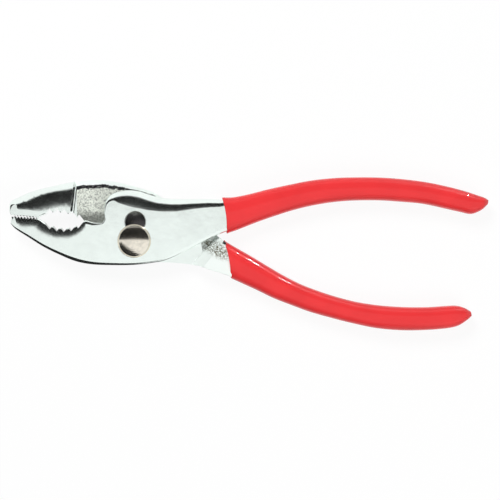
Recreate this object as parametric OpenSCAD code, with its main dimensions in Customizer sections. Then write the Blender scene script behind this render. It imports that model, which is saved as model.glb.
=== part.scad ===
// Slip joint pliers, shut, lying on the back of the joint with the jaws towards -X.
// The origin is the pivot's axis on the face that the pliers rest on.

/* [Overall] */
// Reach of the jaws, from the pivot to the tip
jaw_reach = 52.4; // [48:0.2:58]
// Width of the joint across both halves, top to bottom
joint_w = 35.7; // [34:0.1:39]
// Thickness of the joint, both halves together
joint_t = 10.4; // [9.6:0.1:12]
// Reach of the handles, from the pivot to the end of the longer grip
handle_reach = 148.7; // [140:0.5:165]
// Height of the upper handle's crest above the pivot
handle_rise = 26.8; // [25:0.1:30]
// Depth of the lower handle's belly below the pivot
handle_drop = 37.5; // [35:0.1:42]

/* [Forgings] */
// Thickness of the jaws at the tip
tip_t = 6.6; // [5:0.1:8]
// Width of the widest rounded edge, where its share is 1
edge_w = 5; // [3.5:0.1:5.5]
// Depth of the deepest rounded edge, where its share is 1
edge_d = 3.2; // [2:0.1:3.6]
// Gap between the two halves where one slides on the other
face_gap = 0.1; // [0.05:0.01:0.2]

/* [Teeth] */
// Spacing of the pipe grip's teeth
tooth_pitch = 3; // [2.5:0.1:3.5]
// Depth of the pipe grip's teeth
tooth_depth = 1.9; // [1:0.1:2.2]
// Number of teeth cut in each pipe grip
tooth_count = 5; // [3:1:5]
// Spacing of the fine teeth at the tip
serration_pitch = 1.1; // [0.9:0.1:1.4]
// Depth of the fine teeth at the tip
serration_depth = 0.5; // [0.3:0.05:0.7]
// Number of fine teeth at the tip
serration_count = 9; // [5:1:9]

/* [Slip joint] */
// Distance between the centres of the slot's two holes
slot_step = 8; // [7:0.1:9]
// Lean of the slot towards the handles, in degrees
slot_lean = 2.9; // [0:0.1:5]
// Diameter of the slot's two holes
hole_d = 8.4; // [8:0.1:9]
// Width of the neck between them
neck_w = 5.8; // [5:0.1:6.5]
// Clearance of the bolt's shank in the slot, on each side
slot_fit = 0.1; // [0.05:0.01:0.2]

/* [Pivot bolt] */
// Diameter of the bolt's domed head
head_d = 12.8; // [12:0.1:13.4]
// Height of the rim under the dome
head_rim_h = 0.5; // [0.3:0.05:0.8]
// Height of the dome
dome_h = 1.3; // [0.9:0.1:2]
// Diameter of the round pin that the rear half turns on
pin_d = 7; // [6:0.1:7.6]
// Clearance of the pin in the rear half, on the radius
pin_fit = 0.05; // [0.02:0.01:0.1]
// Diameter of the threaded end
thread_d = 5; // [4:0.1:5.4]
// Outer diameter of the washer
washer_d = 14; // [13.6:0.1:15]
// Thickness of the washer
washer_t = 0.6; // [0.4:0.05:1]
// Play of the washer on the shank, on the radius
washer_fit = 0.15; // [0.1:0.01:0.3]
// Diameter of the sunk nut at the back
nut_d = 11; // [10:0.1:12]
// Thickness of the nut
nut_t = 2.3; // [1.8:0.1:2.6]
// Play round the nut in its seat, on the radius
nut_fit = 0.15; // [0.1:0.01:0.3]
// Width of the driver slot across the nut
driver_w = 1.2; // [0.8:0.1:1.6]
// Depth of the driver slot
driver_depth = 0.8; // [0.5:0.1:1.2]

/* [Grips] */
// Thickness of the grips, front to back
grip_t = 10.4; // [9.6:0.1:12]
// Wall of the dipped grips
dip_wall = 1; // [0.7:0.1:1.4]
// How much further in the thicker bar of a grip's steel core lies
core_step = 2.2; // [1.5:0.1:3]
// Rounding of the grips' open edge
lip_r = 0.4; // [0.2:0.05:0.5]
// Step from the steel's edge up to the grip's, where it enters the grip
lip_step = 0.7; // [0.5:0.05:1]

/* [Hidden] */
$fn = 64;

// How far every cut runs past the solid that it cuts
overrun = 2;
// How far joined shapes of one piece run into each other
seam = 0.2;
// Height of the plane where the halves meet, the middle of the grips too
mid_z = joint_t / 2;
front_face_z = mid_z + face_gap / 2;
rear_face_z = mid_z - face_gap / 2;
root_t = grip_t - 2 * dip_wall;
shank_d = hole_d - 2 * slot_fit;
shank_flats = neck_w - 2 * slot_fit;
shank_z = mid_z - face_gap / 8;
washer_z = joint_t + face_gap / 4;
head_z = washer_z + washer_t;
slot_dir = [sin(slot_lean), cos(slot_lean), 0];

// Steps of a curve between two control points, rings of a rounded edge, sides of a grip
curve_steps = 3;
edge_rings = 3;
grip_steps = 2;
grip_sides = 24;
// Squareness of the grips' section: 2 is an ellipse
grip_power = 2.5;
// Rounded edge of the forgings where they enter the grips
root_edge_w = 0.8 * edge_w;
root_edge_d = 0.8 * edge_d;
// What is left of it at the forging's hidden end
root_end_share = 0.1;

// Control points of the outlines, run anticlockwise seen from the front.
// Each row is x, y, edge width, edge depth and 1 where the outline runs on smoothly.
// The jaws' x is a share of jaw_reach, towards the tip, and their y a share of joint_w.
front_jaw_under_shares = [
    [0.990, 0.206, 0.10, 0.15, 0], [0.953, 0.146, 0.25, 0.30, 1], [0.856, 0.053, 0.45, 0.45, 1],
    [0.728, -0.065, 0.60, 0.60, 1], [0.600, -0.158, 0.60, 0.60, 1], [0.472, -0.235, 0.60, 0.60, 1],
    [0.343, -0.272, 0.60, 0.60, 1], [0.183, -0.282, 0.60, 0.60, 1]
];
front_bite_shares = [
    [0.327, 0.217, 0.10, 0.10, 1], [0.384, 0.241, 0.15, 0.15, 1], [0.408, 0.234, 0.30, 0.20, 0],
    [0.464, 0.185, 0.60, 0.35, 1], [0.528, 0.157, 0.75, 0.40, 1], [0.592, 0.157, 0.75, 0.40, 1],
    [0.652, 0.175, 0.75, 0.40, 1], [0.712, 0.210, 0.75, 0.40, 1], [0.776, 0.266, 0.65, 0.40, 0],
    [0.880, 0.281, 0.40, 0.35, 1], [0.982, 0.293, 0.10, 0.15, 0]
];
rear_bite_shares = [
    [0.985, 0.302, 0.10, 0.15, 0], [0.880, 0.288, 0.30, 0.30, 1], [0.776, 0.274, 0.35, 0.30, 0],
    [0.730, 0.307, 0.35, 0.30, 1], [0.680, 0.328, 0.35, 0.30, 1], [0.616, 0.335, 0.35, 0.30, 1],
    [0.552, 0.326, 0.35, 0.30, 1], [0.488, 0.294, 0.30, 0.25, 1], [0.440, 0.256, 0.20, 0.20, 1],
    [0.392, 0.217, 0.10, 0.10, 1], [0.327, 0.189, 0.10, 0.10, 1]
];
rear_jaw_top_shares = [
    [0.279, 0.716, 0.55, 0.60, 1], [0.400, 0.710, 0.90, 0.80, 1], [0.520, 0.688, 1.50, 1.00, 1],
    [0.632, 0.651, 1.60, 1.10, 1], [0.744, 0.615, 1.50, 1.05, 1], [0.848, 0.570, 1.15, 0.90, 1],
    [0.937, 0.510, 0.70, 0.60, 1], [0.985, 0.476, 0.35, 0.35, 1], [1.000, 0.430, 0.20, 0.25, 1],
    [1.000, 0.348, 0.10, 0.15, 1]
];
// The joint's x and y are both shares of joint_w, with x towards the handles.
front_lobe_under_shares = [
    [-0.010, -0.279, 0.60, 0.60, 1], [0.202, -0.256, 0.60, 0.60, 1], [0.366, -0.222, 0.60, 0.60, 1]
];
front_lobe_top_shares = [
    [0.331, 0.506, 1.00, 0.95, 1], [0.190, 0.539, 1.15, 0.95, 1], [0.061, 0.581, 1.30, 0.95, 1],
    [-0.069, 0.597, 1.30, 0.95, 1], [-0.186, 0.583, 1.15, 0.90, 1], [-0.281, 0.542, 0.85, 0.80, 1],
    [-0.336, 0.459, 0.60, 0.60, 1], [-0.351, 0.354, 0.50, 0.50, 1], [-0.345, 0.262, 0.30, 0.30, 1],
    [-0.375, 0.212, 0.10, 0.10, 0]
];
rear_lobe_under_shares = [
    [-0.363, 0.148, 0.20, 0.20, 1], [-0.286, 0.059, 0.25, 0.25, 1], [-0.257, -0.058, 0.25, 0.25, 1],
    [-0.186, -0.176, 0.25, 0.25, 1], [-0.069, -0.250, 0.25, 0.25, 1], [0.072, -0.262, 0.30, 0.30, 1],
    [0.237, -0.250, 0.40, 0.40, 1]
];
rear_lobe_top_shares = [
    [0.508, 0.386, 0.45, 0.45, 1], [0.355, 0.491, 0.45, 0.45, 1], [0.202, 0.577, 0.45, 0.45, 1],
    [0.061, 0.624, 0.45, 0.50, 1], [-0.081, 0.663, 0.45, 0.50, 1], [-0.234, 0.698, 0.50, 0.55, 1]
];
// The handles' x is a share of handle_reach, and their y a share of handle_rise or handle_drop.
front_root_under_shares = [
    [0.130, -0.193, 0.60, 0.60, 1], [0.176, -0.062, 0.60, 0.60, 1], [0.218, 0.057, 0.60, 0.60, 1]
];
front_root_top_shares = [
    [0.212, 0.659, 0.85, 0.80, 1], [0.170, 0.659, 1.00, 0.90, 1], [0.122, 0.659, 1.00, 0.95, 1]
];
rear_root_under_shares = [
    [0.113, -0.244, 0.55, 0.55, 1], [0.173, -0.273, 0.60, 0.60, 1], [0.218, -0.328, 0.60, 0.60, 1]
];
rear_root_top_shares = [
    [0.230, 0.046, 0.40, 0.50, 0], [0.198, 0.143, 0.40, 0.40, 1], [0.161, 0.255, 0.45, 0.45, 1]
];

// Stations along each grip, from its open end: the upper edge's x and y, the lower edge's x and y,
// and the share of grip_t. The x are shares of handle_reach, the y of handle_rise or handle_drop.
upper_grip_shares = [
    [0.246, 0.685, 0.259, 0.114, 1], [0.280, 0.690, 0.291, 0.176, 1], [0.325, 0.740, 0.342, 0.287, 1],
    [0.376, 0.812, 0.396, 0.392, 1], [0.433, 0.881, 0.452, 0.489, 1], [0.495, 0.948, 0.512, 0.566, 1],
    [0.563, 0.989, 0.574, 0.616, 1], [0.630, 1.000, 0.633, 0.635, 1], [0.698, 0.995, 0.692, 0.635, 1],
    [0.763, 0.967, 0.752, 0.613, 1], [0.828, 0.919, 0.814, 0.580, 1], [0.890, 0.845, 0.873, 0.510, 1],
    [0.935, 0.778, 0.921, 0.450, 0.97], [0.966, 0.721, 0.950, 0.422, 0.90],
    [0.987, 0.681, 0.978, 0.483, 0.70], [0.998, 0.643, 0.996, 0.572, 0.30]
];
lower_grip_shares = [
    [0.251, 0.010, 0.271, -0.418, 1], [0.286, -0.073, 0.290, -0.451, 1], [0.325, -0.161, 0.314, -0.495, 1],
    [0.370, -0.268, 0.348, -0.557, 1], [0.418, -0.380, 0.390, -0.638, 1], [0.466, -0.477, 0.441, -0.717, 1],
    [0.517, -0.556, 0.495, -0.795, 1], [0.573, -0.627, 0.554, -0.861, 1], [0.630, -0.683, 0.616, -0.923, 1],
    [0.692, -0.719, 0.684, -0.977, 1], [0.757, -0.737, 0.755, -1.000, 1], [0.825, -0.739, 0.825, -0.996, 1],
    [0.876, -0.726, 0.882, -0.977, 0.97], [0.907, -0.722, 0.913, -0.947, 0.90],
    [0.931, -0.747, 0.937, -0.888, 0.70], [0.948, -0.787, 0.951, -0.840, 0.30]
];
// Steel inside the grips: a broad bar and a narrower, thicker one. Each has the stations that it
// reaches, how far its sides lie inside the grip's, and its thickness as a share of root_t.
core_stations = [14, 13];
core_inset = [dip_wall, dip_wall + core_step];
core_thickness_shares = [0.62, 0.97];
// Length of the bars' seat in the forging, and their round end as a share of their width
core_seat = 4;
core_end_share = 0.25;

// Shoulders of the forgings, where each comes down to half thickness for the other one.
// Across the jaws: x of the shoulder at its upper and lower end, as shares of jaw_reach.
rear_shoulder_shares = [0.480, 0.510];
front_shoulder_shares = [0.480, 0.480];
// Across the handles: x, y of the ramp's foot at both ends, as shares of handle_reach and handle_rise.
rear_ramp_shares = [[0.233, 0.11], [0.186, -0.205]];
front_ramp_shares = [[0.140, 0.85], [0.240, -0.05]];
// Run of each ramp, from half thickness up to the handle's face
ramp_run = 5;

// Side profile of the forgings: x and half thickness, as shares of jaw_reach and of the whole drop
// from joint_t to tip_t
nose_shares = [[1.02, 1], [0.90, 0.74], [0.75, 0.42], [0.60, 0.16], [0.40, -0.06]];
// Where the joint's thickness starts to fall to the handles', as a share of handle_reach
root_start_share = 0.10;

// Lengths, directions and interpolation
function length2(v) = sqrt(v[0] * v[0] + v[1] * v[1]);
function unit2(v) = [v[0], v[1]] / length2(v);
function power(v, p) = sign(v) * pow(abs(v), p);
function scaled(rows, sx, sy) = [for (r = rows) [r[0] * sx, r[1] * sy, r[2] * edge_w, r[3] * edge_d, r[4]]];

// Slope of a closed curve at row i, for a stretch of the given length
function slope(rows, i, run) =
    let (n = len(rows), a = rows[(i + n - 1) % n], b = rows[i], c = rows[(i + 1) % n])
    rows[i][4] * run * (c - a) / (length2(b - a) + length2(c - b));
function blend(a, ta, b, tb, s) =
    (2 * s * s * s - 3 * s * s + 1) * a + (s * s * s - 2 * s * s + s) * ta
    + (3 * s * s - 2 * s * s * s) * b + (s * s * s - s * s) * tb;
// A closed smooth curve through rows
function curve(rows) = [
    for (i = [0 : len(rows) - 1])
        let (j = (i + 1) % len(rows), run = length2(rows[j] - rows[i]))
        let (from = slope(rows, i, run), to = slope(rows, j, run))
        for (k = [0 : curve_steps - 1])
            blend(rows[i], from, rows[j], to, k / curve_steps)
];

// Edge points of a grip's stations, moved in by a depth
function inward(a, b, depth) = let (p = [a[0], a[1]], q = [b[0], b[1]]) p + unit2(q - p) * depth;
function low_point(s, depth) = inward([s[2], s[3]], [s[0], s[1]], depth);
function top_point(s, depth) = inward([s[0], s[1]], [s[2], s[3]], depth);
// Rows that carry a forging's outline on a little way into its grip
function root_row(p, share, smooth) = [p[0], p[1], root_edge_w * share, root_edge_d * share, smooth];
function root_end(s) = [
    root_row(low_point(s[0], lip_step), 1, 1),
    root_row(low_point(s[2], lip_step), root_end_share, 0),
    root_row(top_point(s[2], lip_step), root_end_share, 0),
    root_row(top_point(s[0], lip_step), 1, 1)
];
function stations(shares, height) = [
    for (s = shares) [s[0] * handle_reach, s[1] * height, s[2] * handle_reach, s[3] * height, s[4]]
];
upper_stations = stations(upper_grip_shares, handle_rise);
lower_stations = stations(lower_grip_shares, handle_drop);

front_bite = scaled(front_bite_shares, -jaw_reach, joint_w);
rear_bite = scaled(rear_bite_shares, -jaw_reach, joint_w);
front_rows = concat(
    scaled(front_jaw_under_shares, -jaw_reach, joint_w),
    scaled(front_lobe_under_shares, joint_w, joint_w),
    scaled(front_root_under_shares, handle_reach, handle_rise),
    root_end(upper_stations),
    scaled(front_root_top_shares, handle_reach, handle_rise),
    scaled(front_lobe_top_shares, joint_w, joint_w),
    front_bite
);
rear_rows = concat(
    rear_bite,
    scaled(rear_lobe_under_shares, joint_w, joint_w),
    scaled(rear_root_under_shares, handle_reach, handle_drop),
    root_end(lower_stations),
    scaled(rear_root_top_shares, handle_reach, handle_drop),
    scaled(rear_lobe_top_shares, joint_w, joint_w),
    scaled(rear_jaw_top_shares, -jaw_reach, joint_w)
);
front_outline = curve(front_rows);
rear_outline = curve(rear_rows);

// A ring of a forging's surface: the outline drawn in by a share of its edge, at heights given by
// a share of the edge's depth from the face at z
function ring(outline, in_share, down_share, z, up) = [
    for (i = [0 : len(outline) - 1])
        let (n = len(outline), p = outline[i])
        let (t = unit2(outline[(i + 1) % n] - outline[(i + n - 1) % n]))
        [p[0] - t[1] * p[2] * in_share, p[1] + t[0] * p[2] * in_share, z - up * p[3] * down_share]
];

// Faces between rings of n points each, from the lowest ring up, and over both ends
function skin(n, rings) = [
    for (r = [0 : rings - 2], i = [0 : n - 1])
        let (j = (i + 1) % n)
        each [[r * n + i, (r + 1) * n + j, r * n + j], [r * n + i, (r + 1) * n + i, (r + 1) * n + j]]
];
function caps(n, rings) = [[for (i = [0 : n - 1]) i], [for (i = [n - 1 : -1 : 0]) (rings - 1) * n + i]];

// Triangles over a flat outline that bends inwards, cut off corner by corner
function turn(a, b, c) = (b[0] - a[0]) * (c[1] - a[1]) - (b[1] - a[1]) * (c[0] - a[0]);
function is_corner(points, left, i) =
    let (n = len(left), a = points[left[(i + n - 1) % n]], b = points[left[i % n]], c = points[left[(i + 1) % n]])
    turn(a, b, c) > seam * seam / 2
    && [
        for (k = left)
            let (p = points[k])
            if (p != a && p != b && p != c && turn(a, b, p) >= 0 && turn(b, c, p) >= 0 && turn(c, a, p) >= 0) k
    ] == [];
function next_corner(points, left, i) =
    i > len(left) || is_corner(points, left, i) ? i % len(left) : next_corner(points, left, i + 1);
function corners(points, left) =
    len(left) == 3 ? [left] :
    let (n = len(left), i = next_corner(points, left, 1))
    concat(
        [[for (k = [-1 : 1]) left[(i + n + k) % n]]],
        corners(points, [for (k = [1 : n - 1]) left[(i + k) % n]])
    );

// A forging at full thickness, with its outer edges rounded on both faces
module blank(outline, stations) {
    quarter = 90 / edge_rings;
    lower = [
        for (k = [edge_rings : -1 : 0])
            each ring(outline, 1 - cos(k * quarter), 1 - sin(k * quarter), 0, -1)
    ];
    upper = [
        for (k = [0 : edge_rings])
            each ring(outline, 1 - cos(k * quarter), 1 - sin(k * quarter), joint_t, 1)
    ];
    rings = 2 * (edge_rings + 1);
    n = len(outline);
    flat = corners(lower, [for (i = [0 : n - 1]) i]);
    flat_top = [for (t = flat) [for (k = [2 : -1 : 0]) (rings - 1) * n + t[k]]];
    difference() {
        polyhedron(concat(lower, upper), concat(skin(n, rings), flat, flat_top));
        thinning();
        translate([0, 0, joint_t]) mirror([0, 0, 1]) thinning();
        beyond(stations[0]);
    }
}

// What the nose and the handles lose from the front face, seen from the side
module thinning() {
    drop = (joint_t - tip_t) / 2;
    root_drop = (joint_t - root_t) / 2;
    root_end = upper_stations[0][0];
    fall = root_drop / (root_end - root_start_share * handle_reach);
    root_start = root_start_share * handle_reach - overrun;
    breadth = 2 * (handle_rise + handle_drop);
    nose = [for (s = nose_shares) [-s[0] * jaw_reach, joint_t - s[1] * drop]];
    nose_end = nose[0];
    nose_start = nose[len(nose) - 1];
    translate([0, breadth / 2, 0])
        rotate([90, 0, 0])
            linear_extrude(breadth) {
                polygon(concat(nose, [nose_start + [0, overrun], [nose_end[0], joint_t + overrun]]));
                polygon([
                    [root_start, joint_t + fall * (root_end - root_start) - root_drop],
                    [root_end, joint_t - root_drop],
                    [handle_reach, joint_t - root_drop],
                    [handle_reach, joint_t + overrun],
                    [root_start, joint_t + overrun]
                ]);
            }
}

// Everything beyond a grip's open edge
module beyond(s) {
    top = [s[0], s[1]];
    low = [s[2], s[3]];
    across = unit2(top - low) * handle_rise;
    translate([0, 0, -overrun])
        linear_extrude(joint_t + 2 * overrun)
            polygon([low - across, top + across, top + across + [handle_reach, 0], low - across + [handle_reach, 0]]);
}

// The steel inside a grip
module core(stations) {
    for (bar = [0, 1]) {
        last = core_stations[bar] - 1;
        low_side = [for (i = [0 : last]) low_point(stations[i], core_inset[bar])];
        top_side = [for (i = [0 : last]) top_point(stations[i], core_inset[bar])];
        across = unit2(top_side[0] - low_side[0]);
        ahead = [across[1], -across[0]];
        end_across = (top_side[last] - low_side[last]) * core_end_share;
        end_ahead = [end_across[1], -end_across[0]];
        thickness = root_t * core_thickness_shares[bar];
        translate([0, 0, mid_z - thickness / 2])
            linear_extrude(thickness)
                polygon(concat(
                    [low_side[0] - ahead * core_seat, low_side[0] + ahead * lip_r],
                    [for (i = [1 : last]) low_side[i]],
                    [low_side[last] + end_ahead + end_across, top_side[last] + end_ahead - end_across],
                    [for (i = [last : -1 : 1]) top_side[i]],
                    [top_side[0] + ahead * lip_r, top_side[0] - ahead * core_seat]
                ));
    }
}

// Height of a bite's edge at x, from its control rows
function edge_y(rows, x) =
    let (points = [for (i = [len(rows) - 1 : -1 : 0]) [rows[i][0], rows[i][1]]])
    lookup(x, points[0][0] < points[1][0] ? points : [for (r = rows) [r[0], r[1]]]);

// One row of V notches, centred on x, spaced along X and cut into the edge from the side that
// up points to
module notches(rows, x, pitch, depth, count, up) {
    rise = depth + overrun;
    for (i = [0 : count - 1]) {
        notch_x = x + (i - (count - 1) / 2) * pitch;
        tip = [notch_x, edge_y(rows, notch_x) - up * depth];
        linear_extrude(3 * joint_t, center = true)
            polygon([
                tip,
                tip + [pitch / 2 * rise / depth, up * rise],
                tip + [-pitch / 2 * rise / depth, up * rise]
            ]);
    }
}
pipe_grip_x = -0.562 * jaw_reach;
serrations_x = -0.885 * jaw_reach;
module teeth(rows, up) {
    notches(rows, pipe_grip_x, tooth_pitch, tooth_depth, tooth_count, up);
    notches(rows, serrations_x, serration_pitch, serration_depth, serration_count, up);
}

// The slot: two round holes joined by a neck that only the shank's flats pass
module slot() {
    for (centre = [[0, 0, 0], slot_dir * slot_step])
        translate(centre - [0, 0, overrun]) cylinder(d = hole_d, h = joint_t + 2 * overrun);
    translate([0, 0, -overrun])
        rotate([0, 0, -slot_lean])
            translate([-neck_w / 2, 0, 0]) cube([neck_w, slot_step, joint_t + 2 * overrun]);
}

// What is cut from a half, in front of the plane z = 0, to leave room for the other half:
// flat between the jaw's shoulder and the foot of the handle's ramp, then up the ramp
module recess(shoulder, ramp) {
    breadth = handle_rise + handle_drop;
    depth = joint_t;
    foot = [for (p = ramp) [p[0] * handle_reach, p[1] * handle_rise]];
    along = unit2(foot[1] - foot[0]);
    tilt = atan2(along[1], along[0]) + 90;
    reach = length2(foot[1] - foot[0]);
    linear_extrude(depth)
        polygon([
            [-shoulder[0] * jaw_reach, breadth / 2],
            [-shoulder[1] * jaw_reach, 0],
            [-shoulder[1] * jaw_reach, -breadth / 2],
            foot[1] + along * breadth / 2,
            foot[1],
            foot[0],
            foot[0] - along * breadth / 2
        ]);
    translate([foot[0][0], foot[0][1], 0])
        rotate([0, 0, tilt])
            translate([0, breadth / 2, 0])
                rotate([90, 0, 0])
                    linear_extrude(breadth + reach)
                        polygon([[-overrun, 0], [0, 0], [ramp_run * 2, depth], [-overrun, depth]]);
}

module front_half() {
    color("gainsboro")
        difference() {
            union() {
                blank(front_outline, upper_stations);
                core(upper_stations);
            }
            translate([0, 0, front_face_z]) mirror([0, 0, 1]) recess(front_shoulder_shares, front_ramp_shares);
            slot();
            teeth(front_bite, 1);
        }
}

module rear_half() {
    color("silver")
        difference() {
            union() {
                blank(rear_outline, lower_stations);
                core(lower_stations);
            }
            translate([0, 0, rear_face_z]) recess(rear_shoulder_shares, rear_ramp_shares);
            translate([0, 0, -overrun]) cylinder(d = pin_d + 2 * pin_fit, h = joint_t + 2 * overrun);
            translate([0, 0, -overrun]) cylinder(d = nut_d + 2 * nut_fit, h = nut_t + overrun);
            teeth(rear_bite, -1);
        }
}

// Domed head, flat sided shank for the slot, round pin for the rear half, threaded end in the nut
module pivot_bolt() {
    dome_r = (head_d * head_d / 4 + dome_h * dome_h) / (2 * dome_h);
    color("silver") {
        cylinder(d = thread_d, h = joint_t);
        translate([0, 0, nut_t]) cylinder(d = pin_d, h = shank_z - nut_t + face_gap / 4);
        shank();
        translate([0, 0, head_z]) cylinder(d = head_d, h = head_rim_h);
        translate([0, 0, head_z + head_rim_h])
            intersection() {
                translate([0, 0, dome_h - dome_r]) sphere(r = dome_r, $fn = 96);
                cylinder(d = head_d, h = dome_h + overrun);
            }
    }
}

module shank() {
    intersection() {
        translate([0, 0, shank_z]) cylinder(d = shank_d, h = head_z - shank_z + seam);
        rotate([0, 0, -slot_lean])
            translate([-shank_flats / 2, -shank_d, 0]) cube([shank_flats, 2 * shank_d, joint_t + head_z]);
    }
}

module washer() {
    color("wheat")
        translate([0, 0, washer_z])
            difference() {
                cylinder(d = washer_d, h = washer_t);
                translate([0, 0, -overrun])
                    cylinder(d = shank_d + 2 * washer_fit, h = washer_t + 2 * overrun);
            }
}

module pivot_nut() {
    color("gray")
        difference() {
            cylinder(d = nut_d, h = nut_t);
            translate([0, 0, -overrun]) cylinder(d = thread_d, h = nut_t + 2 * overrun);
            translate([-nut_d, -driver_w / 2, -overrun]) cube([2 * nut_d, driver_w, driver_depth + overrun]);
        }
}

// Section of a grip at a station, drawn in by the given depth
function section(s, inward) =
    let (top = [s[0], s[1]], low = [s[2], s[3]], middle = (top + low) / 2, across = unit2(top - low))
    let (half_w = length2(top - low) / 2 - inward, half_t = s[4] * grip_t / 2 - inward)
    [
        for (i = [0 : grip_sides - 1])
            let (a = 360 * i / grip_sides, u = half_w * power(cos(a), 2 / grip_power))
            [middle[0] + across[0] * u, middle[1] + across[1] * u, mid_z + half_t * power(sin(a), 2 / grip_power)]
    ];

function along(s, dx) = [s[0] + dx, s[1], s[2] + dx, s[3], s[4]];
// Slope of an open run of stations at station i
function station_slope(rows, i) =
    let (last = len(rows) - 1) (rows[min(i + 1, last)] - rows[max(i - 1, 0)]) / (i == 0 || i == last ? 1 : 2);

// A dipped grip: sections from its open edge to its closed end
module dip(rows) {
    last = len(rows) - 1;
    between = [
        for (i = [0 : last - 1], k = [0 : grip_steps - 1])
            blend(rows[i], station_slope(rows, i), rows[i + 1], station_slope(rows, i + 1), k / grip_steps)
    ];
    path = concat([for (i = [1 : len(between) - 1]) between[i]], [rows[last]]);
    rings = concat([section(rows[0], lip_r), section(along(rows[0], lip_r), 0)], [for (s = path) section(s, 0)]);
    points = [for (r = rings) each r];
    polyhedron(points, concat(skin(grip_sides, len(rings)), caps(grip_sides, len(rings))));
}

module upper_grip() {
    color("red")
        difference() {
            dip(upper_stations);
            core(upper_stations);
        }
}

module lower_grip() {
    color("red")
        difference() {
            dip(lower_stations);
            core(lower_stations);
        }
}

front_half();
rear_half();
pivot_bolt();
washer();
pivot_nut();
upper_grip();
lower_grip();
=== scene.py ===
"""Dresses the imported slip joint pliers: plated forgings, a domed bolt with washer and nut, dipped grips."""

from math import cos, pi, radians, sin
from types import SimpleNamespace

import bmesh
import bpy
import numpy as np
from bpy.props import FloatProperty, FloatVectorProperty, IntProperty, PointerProperty
from mathutils import Matrix, Vector


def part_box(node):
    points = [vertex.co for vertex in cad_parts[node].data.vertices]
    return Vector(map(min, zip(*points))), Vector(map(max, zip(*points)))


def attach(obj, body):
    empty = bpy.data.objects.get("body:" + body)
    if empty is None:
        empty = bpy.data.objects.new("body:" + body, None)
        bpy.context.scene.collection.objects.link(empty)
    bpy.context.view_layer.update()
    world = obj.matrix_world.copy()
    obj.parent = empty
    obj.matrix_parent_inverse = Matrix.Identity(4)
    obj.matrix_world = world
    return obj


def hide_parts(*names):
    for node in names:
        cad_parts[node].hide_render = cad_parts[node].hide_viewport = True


bl_info = {
    "name": "Slip Joint Pliers",
    "version": (1, 0, 0),
    "blender": (4, 5, 0),
    "location": "View3D > Sidebar > Pliers",
    "description": "Builds slip joint pliers with plated halves, a domed pivot bolt and dipped grips",
    "category": "Add Mesh",
}

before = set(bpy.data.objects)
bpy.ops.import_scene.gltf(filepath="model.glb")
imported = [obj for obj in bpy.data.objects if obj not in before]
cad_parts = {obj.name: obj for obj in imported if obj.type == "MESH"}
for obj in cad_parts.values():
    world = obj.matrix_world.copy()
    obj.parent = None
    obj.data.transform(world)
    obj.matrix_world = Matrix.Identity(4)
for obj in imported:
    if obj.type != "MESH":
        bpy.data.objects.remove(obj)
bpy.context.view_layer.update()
MM = 0.001


def cad_bottom(node):
    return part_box(node)[0].z / MM


def cad_top(node):
    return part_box(node)[1].z / MM


# Sizes and colours


def length(name, description, millimetres):
    """A length, given here in millimetres and held in metres, as Blender's unit of length is."""
    return FloatProperty(
        name=name, description=description, default=millimetres * MM, min=0.0, precision=5, unit="LENGTH"
    )


def number(name, description, value, least):
    return IntProperty(name=name, description=description, default=value, min=least)


def colour(name, description, value):
    return FloatVectorProperty(
        name=name, description=description, default=value, subtype="COLOR", size=3, min=0.0, max=1.0
    )


def measures(group):
    """A group's values by name: lengths in millimetres, and every number in single precision."""
    values = {}
    for key, kind in group.bl_rna.properties.items():
        if key not in ("rna_type", "name"):
            value = getattr(group, key)
            if kind.unit == "LENGTH":
                value = float(np.float32(round(value / MM, 5)))
            values[key] = value
    return SimpleNamespace(**values)


class ForgingSizes(bpy.types.PropertyGroup):
    """Sizes of the two steel halves."""

    jaw_reach: length("Jaw reach", "From the pivot to the tip of the jaws", 52.38)
    joint_width: length("Joint width", "Width of the joint, top to bottom", 35.7)
    joint_thickness: length("Joint thickness", "Both halves together", round(cad_top("front_half"), 3))
    handle_reach: length("Handle reach", "From the pivot to the end of the grips", 148.7)
    handle_rise: length("Handle rise", "Crest of the upper handle above the pivot", 26.8)
    handle_drop: length("Handle drop", "Belly of the lower handle below the pivot", 37.5)
    tip_thickness: length("Tip thickness", "Thickness of the jaws at the tip", 6.6)
    edge_width: length("Edge width", "Width of the widest rounded edge", 5.0)
    edge_depth: length("Edge depth", "Depth of the deepest rounded edge", 3.2)
    face_gap: length("Face gap", "Gap where one half slides on the other", 0.1)
    hole_diameter: length("Slot hole", "Diameter of the slot's two holes", 8.4)
    slot_step: length("Slot step", "Distance between the slot's two holes", 8.0)
    slot_lean: FloatProperty(
        name="Slot lean", description="Lean towards the handles", default=radians(2.9), subtype="ANGLE"
    )
    neck_width: length("Neck width", "Width of the slot's neck", 5.8)
    break_edge: length("Broken edge", "Chamfer round the slot's mouth", 0.35)
    rim_width: length("Lap's rim", "Width of the plated rim of the rear half's lap", 1.9)
    floor_depth: length("Lap's floor", "Depth of the rough floor inside that rim", 0.15)
    curve_steps: number("Curve steps", "Points between two rows of an outline", 9, 2)
    edge_rings: number("Edge rings", "Rings of a rounded edge", 9, 3)


class ToothSizes(bpy.types.PropertyGroup):
    """Sizes of the teeth."""

    pitch: length("Tooth pitch", "Spacing of the pipe grip's teeth", 3.0)
    depth: length("Tooth depth", "Depth of the pipe grip's teeth", 1.9)
    count: number("Teeth", "Teeth in each pipe grip", 5, 1)
    fine_pitch: length("Fine pitch", "Spacing of the fine teeth at the tip", 1.3)
    fine_depth: length("Fine depth", "Depth of the lower jaw's fine teeth", 1.5)
    upper_depth: length("Upper depth", "Depth of the upper jaw's fine teeth", 0.4)
    fine_count: number("Fine teeth", "Fine teeth at the tip of each jaw", 8, 1)


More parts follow.
